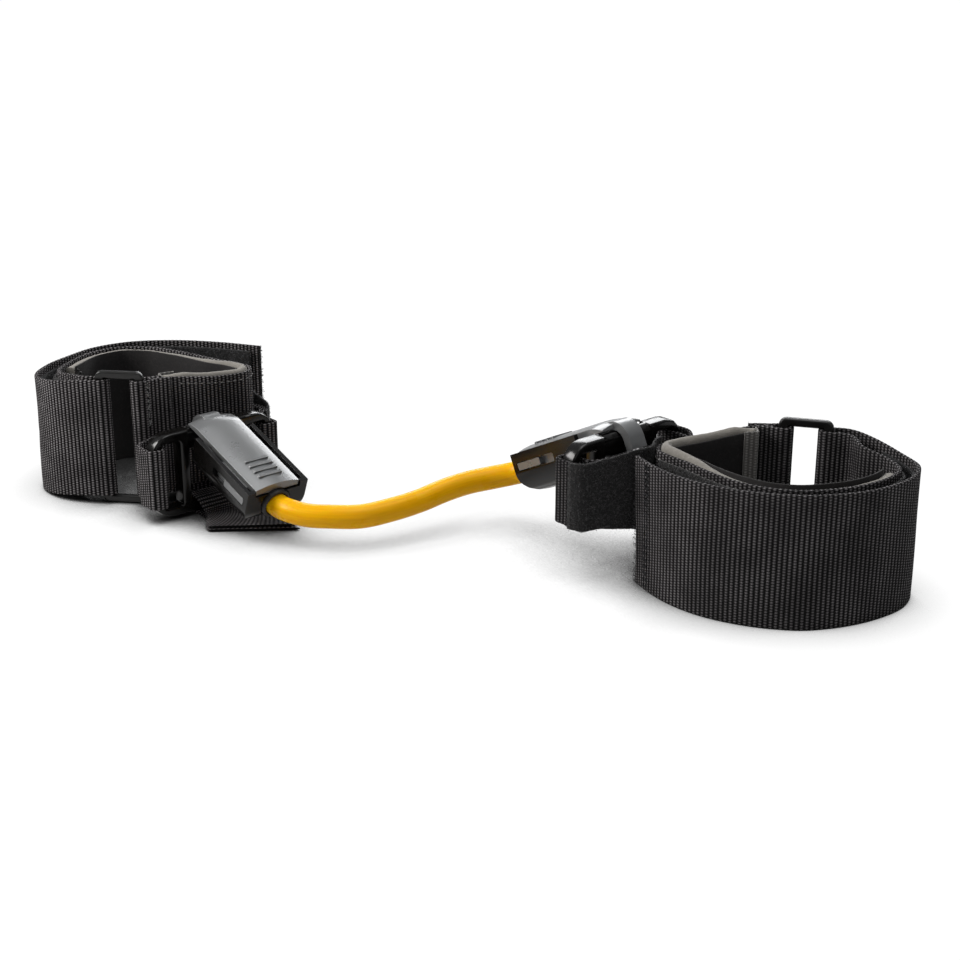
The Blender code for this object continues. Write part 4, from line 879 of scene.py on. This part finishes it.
        self.sewn("pad_lining", stations, band_section(LINING_THICK, 0.0003, 10, lining), lining_shift, PAD_LINING)
        binding = lining - LINING_THICK / 2 - GAP - BINDING_THICK / 2
        corner = start - GAP - BINDING_THICK / 2
        spots = []
        for stop, offset in ((corner, -STRAP_THICK / 2 - GAP), (corner, binding), (start + BINDING_LEG, binding)):
            point, direction = self.round.place(stop)
            spots.append(point + outward(direction) * offset)
        line = [spots[0]]
        turn_in = (spots[1] - spots[0]).normalized()
        turn_out = (spots[2] - spots[1]).normalized()
        for step in range(7):
            share = step / 6
            line.append(spots[1] - turn_in * 0.0008 * (1 - share) ** 2 + turn_out * 0.0008 * share**2)
        line.append(spots[2])
        foot = self.lifted(min(start, self.round.length - start))
        self.sewn("pad_binding", line_stations(Route(line), foot, STRAP_WIDTH), band_section(BINDING_THICK, 0.0002, 10),
                  ribbed(0.00005, 0.00004, 7.7), BINDING_WEAVE)

    def tapes(self):
        """Loop and hook tape with their pile, and the fibres that stand from them."""
        height = STRAP_WIDTH - TAPE_INSET * 2
        chance = random.Random(11 if self.side == "left" else 12)
        loop_offset = STRAP_THICK / 2 + GAP + LOOP_THICK / 2
        hook_offset = STRAP_THICK / 2 + GAP + HOOK_THICK / 2

        def roots(stations, count, inside, edge, across, shift, lean):
            found = []
            for _ in range(count):
                station = chance.choice(stations)
                up = height * chance.random() if chance.random() < inside else height - edge * chance.random()
                spot = station.spot(*shift(station, across, up))
                found.append((spot, raised(station.side, chance.uniform(*lean)).normalized()))
            return found

        def looped(station, across, up):
            return across + (wander(station.along, up, 900.0, 0.00018, 1.5) - 0.00018
                             if across > loop_offset else 0.0), up

        def hooked(station, across, up):
            swell = ease((station.along - TAIL_SWELL_START) / TAIL_SWELL_RUN)
            follow = -wander(station.along + self.round.length + math.pi * self.turn, up + TAPE_INSET, *TAIL_SWELL)
            tuft = wander(station.along, up, 1100.0, 0.00012, 2.5)
            return across + follow * swell + (tuft if across > hook_offset else 0.0), up

        start = max(self.layout["free_side"]["land"]) + LOOP_START_MARGIN
        stops = stops_between(start, self.round.length - LOOP_END_MARGIN, 0.0009)
        stations = [self.round_station(stop, TAPE_INSET, height) for stop in stops]
        self.sewn("loop_fabric", stations, band_section(LOOP_THICK, 0.0003, 26, loop_offset), looped, LOOP_PILE)
        found = roots(stations, 2600, 0.7, 0.002, loop_offset + LOOP_THICK / 2 - FIBRE_DEPTH,
                      lambda station, across, up: (across, up), (-0.2, 0.5))
        self.fluffed("loop_fibres", found, 21, 0.0008)
        stops = stops_between(HOOK_START, self.tail.length - HOOK_END_MARGIN, 0.0009)
        stations = [self.tail_station(stop, TAPE_INSET, height) for stop in stops]
        self.sewn("hook_fabric", stations, band_section(HOOK_THICK, 0.0003, 26, hook_offset), hooked, HOOK_PILE)
        found = roots(stations, 1500, 0.6, 0.003, hook_offset + HOOK_THICK / 2 - FIBRE_DEPTH, hooked, (-0.1, 0.8))
        self.fluffed("hook_fibres", found, 31, 0.0006)

    def ring_webbing(self):
        """Short webbing that ties the ring's first bar to the strap's fixed end."""
        line, self.ring_leg = folded_line(self.round, self.turn, self.turn, self.turn, STRAP_THICK + GAP,
                                          (0.0, RING_TAB_MERGE), RING_TAB_OUTER, RING_TAB_INNER)
        self.sewn("ring_webbing", line_stations(line, RING_LIFT, STRAP_WIDTH), band_section(STRAP_THICK, 0.0004, 12),
                  ribbed(RIB_DEPTH, 0.00005, 9.9), BLACK_WEBBING)

    def keeper_route(self, data, end_sign):
        """From a plate's end bar back to the strap, then along the strap's outer face."""
        bar = (PLATE_WIDTH - PLATE_END_BAR) / 2 * end_sign
        points = [
            self.plate + self.back * behind + self.along * (bar - end_sign * inward)
            for behind, inward in [(0.0, 0.0)] + data["via"]
        ]
        start, end = data["land"]
        stand = STRAP_THICK / 2 + GAP + KEEPER_THICK + GAP / 2
        if start > end:
            stand += PATCH_THICK + GAP
        for step in range(4):
            point, direction = self.round.place(start + (end - start) * step / 3)
            points.append(point + outward(direction) * stand)
        return Route(smooth_line(points))

    def keepers(self):
        """Both keepers folded round the plate's end bars, with their seams."""
        ring_sign = -1.0 if self.side == "left" else 1.0
        low = self.bottom + (PLATE_HEIGHT - KEEPER_WIDTH) / 2
        # The right cuff's keepers take a darker copy of the black webbing: painted shade.
        finish = BLACK_WEBBING if self.side == "left" else SHADED_KEEPER_WEBBING
        light, dark = [], []
        for end, sign in (("ring_side", ring_sign), ("free_side", -ring_sign)):
            route = self.keeper_route(self.layout[end], sign)
            line, outer = folded_line(route, KEEPER_PARTED, PLATE_THICK / 2 + GAP + KEEPER_THICK / 2,
                                      PLATE_EDGE + GAP + KEEPER_THICK / 2, KEEPER_JOINED, (MERGE_START, MERGE_END),
                                      route.length, route.length - KEEPER_HEM)
            self.sewn(f"keeper_{end}", line_stations(line, low, KEEPER_WIDTH), band_section(KEEPER_THICK, 0.0004, 8),
                      ribbed(RIB_DEPTH * 0.9, 0.00004, 12.3), finish)
            seams = light if self.side == "left" and end == "free_side" else dark
            for back in (0.0062, 0.0078):
                point, direction = outer.place(outer.length - back)
                out = raised(-outward(direction))
                spot = raised(point) - PLAN_SHIFT + out * (KEEPER_THICK / 2 + 0.00005)
                for index in range(9):
                    foot = low + 0.0020 + index * 0.0024
                    seams.append((spot + Vector((0, 0, foot)), spot + Vector((0, 0, foot + 0.0018)), out))
        self.stitched("keeper_seams", dark, 0.00045, DARK_THREAD)
        if light:
            self.stitched("wing_seams", light, 0.00055, THREAD)
        self.patch(route)

    def patch(self, route):
        """The fuzzy patch over the longer keeper's legs."""
        start = MERGE_END - self.layout["patch_reach"]
        grown = self.layout["patch_height"] - PATCH_HEIGHT_AT_PLATE

        def lift(stop):
            half = KEEPER_PARTED + (KEEPER_JOINED - KEEPER_PARTED) * ease(
                (stop - MERGE_START) / (MERGE_END - MERGE_START))
            return half + KEEPER_THICK / 2 + GAP + PATCH_THICK / 2

        def section(station):
            return band_section(PATCH_THICK, 0.0003, 24, lift(station.along))(station)

        def tufted(station, across, up):
            edge = math.exp(-min(up, station.height - up) / 0.001)
            ragged = wander(station.along, 0.0, 700.0, 0.0005, 9.0) * edge
            tuft = wander(station.along, up, 1000.0, 0.00022, 3.5) - 0.0001
            return across + (tuft if across > lift(station.along) else 0.0), up + abs(ragged)

        stations = []
        for stop in stops_between(start, route.length, 0.0007):
            point, direction = route.place(stop)
            tall = PATCH_HEIGHT_AT_PLATE + grown * ease((stop - start) / (route.length - start))
            foot = max(PATCH_FLOOR, self.bottom + PLATE_HEIGHT / 2 - tall / 2)
            stations.append(Station(point, outward(direction), foot, tall, 0.0, stop))
        self.sewn("anchor_patch", stations, section, tufted, LOOP_PILE)
        chance = random.Random(41)
        roots = []
        for _ in range(2200):
            station = chance.choice(stations)
            up = station.height * chance.random()
            roots.append((station.spot(lift(station.along) + PATCH_THICK / 2 - FIBRE_DEPTH, up),
                          raised(station.side, chance.uniform(-0.3, 0.3)).normalized()))
        for _ in range(500):
            station = chance.choice(stations)
            away = Vector((chance.uniform(-0.4, 0.4), chance.uniform(-0.4, 0.4), 1.0))
            roots.append((station.spot(lift(station.along), station.height - 0.0001), away.normalized()))
        self.fluffed("patch_fibres", roots, 51, 0.0009)

    def seams(self):
        """Rows of thread at the tail's hem, along the pad's edge, at the pad's end and at the ring webbing."""
        face = STRAP_THICK / 2
        rows = []
        for back in (0.0085, 0.0085 + 0.0016):
            station = self.tail_station(self.tail.length - back)
            for index in range(19):
                foot = 0.0014 + index * 0.0026
                rows.append((station.spot(-face - 0.0002, foot), station.spot(-face - 0.0002, foot + 0.0020),
                             -raised(station.side)))
        self.stitched("hem_seam", rows, 0.0006, DARK_THREAD)
        rows = []
        for stop in stops_between(RING_TAB_OUTER + 0.004, self.pad_end - 0.002, 0.0030):
            first, second = self.round_station(stop), self.round_station(stop + 0.0022)
            level = STRAP_WIDTH - 0.0028
            rows.append((first.spot(face + 0.00005, level), second.spot(face + 0.00005, level), raised(first.side)))
        self.stitched("pad_seam", rows, 0.00055, PALE_THREAD)
        rows = []
        across = -face - GAP * 2 - FOAM_THICK - LINING_THICK - 0.0002
        for index in range(26):
            stop = self.pad_end - 0.0006 - 0.0026 * (index % 2)
            station = self.round_station(stop)
            foot = STRAP_WIDTH - 0.0012 - index * 0.0019
            second = self.round_station(stop - 0.0020).spot(across, foot - 0.0012)
            rows.append((station.spot(across, foot), second, -raised(station.side)))
        self.stitched("pad_end_seam", rows, 0.00050, THREAD)
        rows = []
        chance = random.Random(71)
        point, direction = self.ring_leg.place(self.ring_leg.length - 0.0022)
        out = raised(-outward(direction))
        for index in range(44):
            foot = RING_LIFT + STRAP_WIDTH - 0.0015 - index * 0.00042
            spot = raised(point + direction * chance.uniform(-0.0006, 0.0006), foot) - PLAN_SHIFT + out * face
            lean = Vector((chance.uniform(-0.4, 0.4), chance.uniform(-0.4, 0.4), chance.uniform(-1.0, 1.0)))
            rows.append((spot, spot + lean.normalized() * 0.0011, out))
        self.stitched("ring_seam", rows, 0.00030, THREAD)
        self.frayed_ends(chance)

    def frayed_ends(self, chance):
        """Fibres at the cut ends of the ring webbing and the tail."""
        roots = []
        point, direction = self.ring_leg.place(0.0)
        out = -outward(direction)
        for _ in range(420):
            spot = point - direction * chance.uniform(-0.0008, 0.0002) + out * chance.uniform(-0.0008, 0.0009)
            root = raised(spot, RING_LIFT + STRAP_WIDTH * chance.random()) - PLAN_SHIFT
            away = raised(direction) + raised(out) * 0.9 + Vector((0, 0, chance.uniform(-0.8, 0.8)))
            roots.append((root, away.normalized()))
        station = self.tail_station(self.tail.length)
        point, direction = self.tail.place(self.tail.length)
        for _ in range(260):
            across = STRAP_THICK * chance.uniform(-0.5, 0.5)
            root = station.spot(across, STRAP_WIDTH * chance.random())
            roots.append((root, raised(direction, chance.uniform(-0.7, 0.7)).normalized()))
        self.fluffed("cut_end_fray", roots, 81, 0.0012, 0.00016)

    def build(self):
        """Every sewn piece of this cuff."""
        self.strap()
        self.pad()
        self.tapes()
        self.ring_webbing()
        self.keepers()
        self.seams()


def pull_tab():
    """Tab of doubled webbing folded round the left plate's low rail."""
    cuff = CUFFS["left"]
    foot = TAB_FLOOR_GAP + TAB_THICK / 2
    rail_top = cuff["plate_bottom"] + PLATE_LOW_RAIL + GAP + TAB_THICK / 2
    behind = -(PLATE_THICK / 2 + GAP + TAB_THICK / 2)
    upper = foot + TAB_THICK + GAP
    route = Route([Vector(point) for point in (
        (TAB_LENGTH, foot), (0.0, foot), (behind * 0.72, foot + 0.0002), (behind, foot + 0.0012),
        (behind, (foot + rail_top) / 2), (behind, rail_top - 0.0010), (behind * 0.75, rail_top),
        (-behind * 0.8, rail_top), (-behind * 1.3, rail_top - 0.0012), (0.0095, upper + 0.0010), (0.0135, upper),
        (TAB_LENGTH - TAB_HEM, upper),
    )])
    turn = Matrix.Translation((*cuff["plate"], 0.0)) @ Matrix.Rotation(PLATE_AZIMUTH - math.pi / 2, 4, "Z")
    shape, layer = mapped_shape()
    rings = []
    stops = stops_between(0.0, route.length, RIB_STEP)
    for stop in stops:
        point, direction = route.place(stop)
        side = outward(direction)
        past = max(0.0, point.x - TAB_BEND) / (TAB_LENGTH - TAB_BEND)
        share = ease(past)
        half = (TAB_WIDTH + (TAB_FLARE - TAB_WIDTH) * share) / 2
        sunk = RIB_DEPTH * 0.5 * (1 - abs(math.sin(math.pi * stop / RIB)) ** 0.7)
        ring = []
        for face in (-1.0, 1.0):
            for row in range(TAB_ROWS + 1):
                w = (row / TAB_ROWS * 2 - 1) * -face
                thick = TAB_THICK / 2 * (1.0 if abs(w) < 0.97 else 0.55) - sunk
                spot = point + side * thick * face
                along, across = spot.x + TAB_SKEW * past * (w - 1.0), w * half - TAB_SWAY * share
                ring.append(shape.verts.new(turn @ Vector((along, across, spot.y)) - PLAN_SHIFT))
        rings.append(ring)
    skin(shape, layer, rings, stops, lambda index, corner: corner * TAB_WIDTH / TAB_ROWS)
    shape.faces.new(rings[0])
    shape.faces.new(list(reversed(rings[-1])))
    mesh = finished("pull_tab", shape)
    piece("left_pull_tab_sewn", mesh, BLACK_WEBBING, "left_cuff", ("left_pull_tab",))


def clip_frame(side):
    """A clip's own frame: its origin on the rail, x towards the tube, z its upper side."""
    cuff = CUFFS[side]
    azimuth = PLATE_AZIMUTH + (-math.pi / 2 if side == "left" else math.pi / 2)
    pitch = math.radians(cuff["pitch"])
    forward = Vector((math.cos(azimuth) * math.cos(pitch), math.sin(azimuth) * math.cos(pitch), -math.sin(pitch)))
    across = Vector((-math.sin(azimuth), math.cos(azimuth), 0.0))
    upper = forward.cross(across)
    made = Matrix((forward, across, upper)).transposed().to_4x4()
    made.translation = (*cuff["plate"], cuff["plate_bottom"] + PLATE_HEIGHT - RAIL_HEIGHT / 2)
    return made


def elastic_tube():
    """The latex tube: swollen over each plug, smooth between them, with its bore."""
    ends = [TUBE_START + (CLIP_MOUTH - TUBE_START) * share for share in (0.0, 0.26, 0.52, 0.83, 1.0)]
    left, right = clip_frame("left"), clip_frame("right")
    points = [left @ Vector((along, 0.0, -TUBE_DROP)) for along in ends] + TUBE_ROUTE
    points += [right @ Vector((along, 0.0, -TUBE_DROP)) for along in reversed(ends)]
    route = Route(smooth_line(points, 8))
    shape, layer = mapped_shape()
    stops = stops_between(0.0, route.length, 0.0014)
    outer_rings, inner_rings = [], []
    for stop in stops:
        centre, direction = route.place(stop)
        across = direction.cross(Vector((0.0, 0.0, 1.0))).normalized()
        upper = across.cross(direction)
        share = ease((min(stop, route.length - stop) - FLARE_LENGTH) / FLARE_TAPER)
        outer = (FLARE_OUTER + (TUBE_OUTER - FLARE_OUTER) * share) / 2 + wander(stop, 0.0, 60.0, 0.00006, 1.7)
        bore = (FLARE_BORE + (TUBE_BORE - FLARE_BORE) * share) / 2
        for rings, radius in ((outer_rings, outer), (inner_rings, bore)):
            ring = []
            for side in range(TUBE_SIDES):
                angle = 2 * math.pi * side / TUBE_SIDES
                spot = centre + (across * math.cos(angle) + upper * math.sin(angle)) * radius
                ring.append(shape.verts.new(spot - PLAN_SHIFT))
            rings.append(ring)
    skin(shape, layer, outer_rings + inner_rings[::-1], stops + stops[::-1], lambda index, side: side * 0.001,
         closed=True)
    mesh = finished("elastic_tube", shape)
    tube = piece("elastic_tube", mesh, LATEX, None, ("resistance_tube",))
    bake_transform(tube)


def rounded_copy(node_name, finish, body, edge):
    """A moulded piece with softened edges, made from its solid and standing for it."""
    shape = bmesh.new()
    shape.from_mesh(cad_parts[node_name].data)
    bmesh.ops.remove_doubles(shape, verts=shape.verts, dist=0.00001)
    bmesh.ops.dissolve_limit(shape, angle_limit=math.radians(0.1), verts=shape.verts, edges=shape.edges)
    for face in shape.faces:
        face.smooth = True
    name = f"{node_name}_moulded"
    made = piece(name, finished(name, shape, turned_out=False), finish, body, (node_name,))
    bevel = made.modifiers.new("softened_edges", "BEVEL")
    bevel.limit_method = "ANGLE"
    bevel.angle_limit = math.radians(62.0)
    bevel.width = edge
    bevel.segments = 1
    bevel.use_clamp_overlap = False
    even = made.modifiers.new("even_shading", "WEIGHTED_NORMAL")
    even.keep_sharp = False
    even.weight = 60


def moulded_nodes():
    """Finishes of the moulded pieces, with softened edges where the eye comes close."""
    rounded = {
        "ring": (RING_PLASTIC, "cuff", "black_plastic", 0.00035),
        "anchor_plate": (BLACK_PLASTIC, "cuff", "black_plastic", 0.00045),
        "clip_hook": (GRAY_PLASTIC, "clip", "gray_plastic", 0.00009),
        "clip_sleeve": (BLACK_PLASTIC, "sleeve", "black_plastic", 0.00030),
    }
    for side in CUFFS:
        for part, (finish, carrier, slot, edge) in rounded.items():
            rounded_copy(f"{side}_{part}", finish, f"{side}_{carrier}", edge)
        for part, finish in (("tube_collar", BLACK_RUBBER), ("tube_plug", PLUG_PLASTIC)):
            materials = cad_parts[f"{side}_{part}"].data.materials
            materials.clear()
            materials.append(finish)


def latch_coil(side):
    """The spring in the sleeve, in wire, riding on the clip."""
    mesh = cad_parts[f"{side}_latch_spring"].data.copy()
    mesh.materials.clear()
    coil = piece(f"{side}_latch_coil", mesh, SPRING_WIRE, f"{side}_clip", (f"{side}_latch_spring",))
    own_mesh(coil)


def lamp(name, spot, target, size, power, colour=(1.0, 1.0, 1.0)):
    """A soft lamp aimed at a point."""
    light = bpy.data.lights.new(name, "AREA")
    light.energy = power
    light.color = colour
    light.shape = "RECTANGLE"
    light.size, light.size_y = size
    made = new_object(name, light)
    made.location = spot
    made.rotation_euler = (Vector(target) - Vector(spot)).to_track_quat("-Z", "Y").to_euler()
    made.visible_camera = False


def studio():
    """Pale floor with a painted contact shadow, soft lamps, white surround and the camera."""
    floor_mesh = bpy.data.meshes.new("studio_floor")
    corners = [(x * FLOOR_REACH, y * FLOOR_REACH, 0) for x, y in ((-1, -1), (1, -1), (1, 1), (-1, 1))]
    floor_mesh.from_pydata(corners, [], [(0, 1, 2, 3)])
    floor = new_object("studio_floor", floor_mesh)
    floor.location.z = -0.0002
    finish = bpy.data.materials.new("studio_floor_white")
    finish.use_nodes = True
    tree = finish.node_tree
    tree.nodes.clear()
    path = node(tree, "ShaderNodeLightPath").outputs
    # The floor's glow is darkened by ambient occlusion near the pieces: a painted contact shadow, and painted shade on
    # the floor inside the cuffs.
    near = node(tree, "ShaderNodeAmbientOcclusion", {"Distance": 0.030}, samples=8).outputs["AO"]
    wide = node(tree, "ShaderNodeAmbientOcclusion", {"Distance": 0.140}, samples=8).outputs["AO"]
    shade = times(tree, ramp(tree, near, 0.20, 0.90, 0.36, 1.0), ramp(tree, wide, 0.34, 0.62, 0.0, 1.0))
    plain = node(tree, "ShaderNodeBsdfDiffuse", {"Color": (0.55, 0.55, 0.55, 1.0)})
    glow = node(tree, "ShaderNodeEmission", {"Color": (1.0, 1.0, 1.0, 1.0), "Strength": times(tree, shade, 1.08)})
    seen = calc(tree, "MAXIMUM", path["Is Camera Ray"], path["Is Transmission Ray"])
    share = calc(tree, "MAXIMUM", times(tree, seen, 0.93), times(tree, path["Is Glossy Ray"], 0.14))
    mix = node(tree, "ShaderNodeMixShader", {0: share, 1: plain.outputs[0], 2: glow.outputs[0]})
    node(tree, "ShaderNodeOutputMaterial", {"Surface": mix.outputs[0]})
    floor_mesh.materials.append(finish)
    world = bpy.data.worlds.new("studio_surround")
    bpy.context.scene.world = world
    world.use_nodes = True
    tree = world.node_tree
    tree.nodes.clear()
    place = node(tree, "ShaderNodeTexCoord").outputs["Generated"]
    height = node(tree, "ShaderNodeSeparateXYZ", {"Vector": place}).outputs["Z"]
    front = node(tree, "ShaderNodeVectorMath", {0: place, 1: (0.46, -0.89, 0.0)}, operation="DOT_PRODUCT")
    dimmed = ramp(tree, front.outputs["Value"], -0.2, 0.9, 1.0, 0.40)
    strength = times(tree, ramp(tree, height, 0.0, 0.9, 0.08, 0.44), dimmed)
    soft = node(tree, "ShaderNodeBackground", {"Color": (0.96, 0.98, 1.0, 1.0), "Strength": strength})
    white = node(tree, "ShaderNodeBackground", {"Color": (1.0, 1.0, 1.0, 1.0), "Strength": 1.0})
    path = node(tree, "ShaderNodeLightPath").outputs
    seen = calc(tree, "MAXIMUM", path["Is Camera Ray"], path["Is Transmission Ray"])
    mix = node(tree, "ShaderNodeMixShader", {0: seen, 1: soft.outputs[0], 2: white.outputs[0]})
    node(tree, "ShaderNodeOutputWorld", {"Surface": mix.outputs[0]})
    lamp("side_lamp", (-0.72, -0.40, 0.62), (-0.03, 0.0, 0.02), (0.55, 0.40), 9.5, (1.0, 0.985, 0.97))
    lamp("back_lamp", (-0.20, 0.90, 0.42), (-0.02, 0.0, 0.03), (0.90, 0.30), 5.0, (0.98, 0.99, 1.0))
    lamp("overhead_lamp", (0.10, 0.05, 0.95), (0.02, 0.0, 0.0), (0.8, 0.5), 3.5)
    lamp("front_fill_lamp", (0.75, -0.70, 0.40), (0.05, 0.0, 0.02), (0.6, 0.4), 0.6)
    camera = bpy.data.cameras.new("photo_view")
    camera.sensor_width = 36.0
    camera.lens = 63.75
    camera.clip_start, camera.clip_end = 0.02, 20.0
    made = new_object("photo_view", camera)
    made.location = (0.29708, -0.57501, 0.2572)
    aim = Vector((-0.01267, 0.06009, 0.0)) - made.location
    made.rotation_euler = aim.to_track_quat("-Z", "Y").to_euler()
    bpy.context.scene.camera = made
    bpy.context.scene.view_settings.view_transform = "Standard"


studio()
moulded_nodes()
for side in CUFFS:
    latch_coil(side)
    Cuff(side).build()
pull_tab()
elastic_tube()
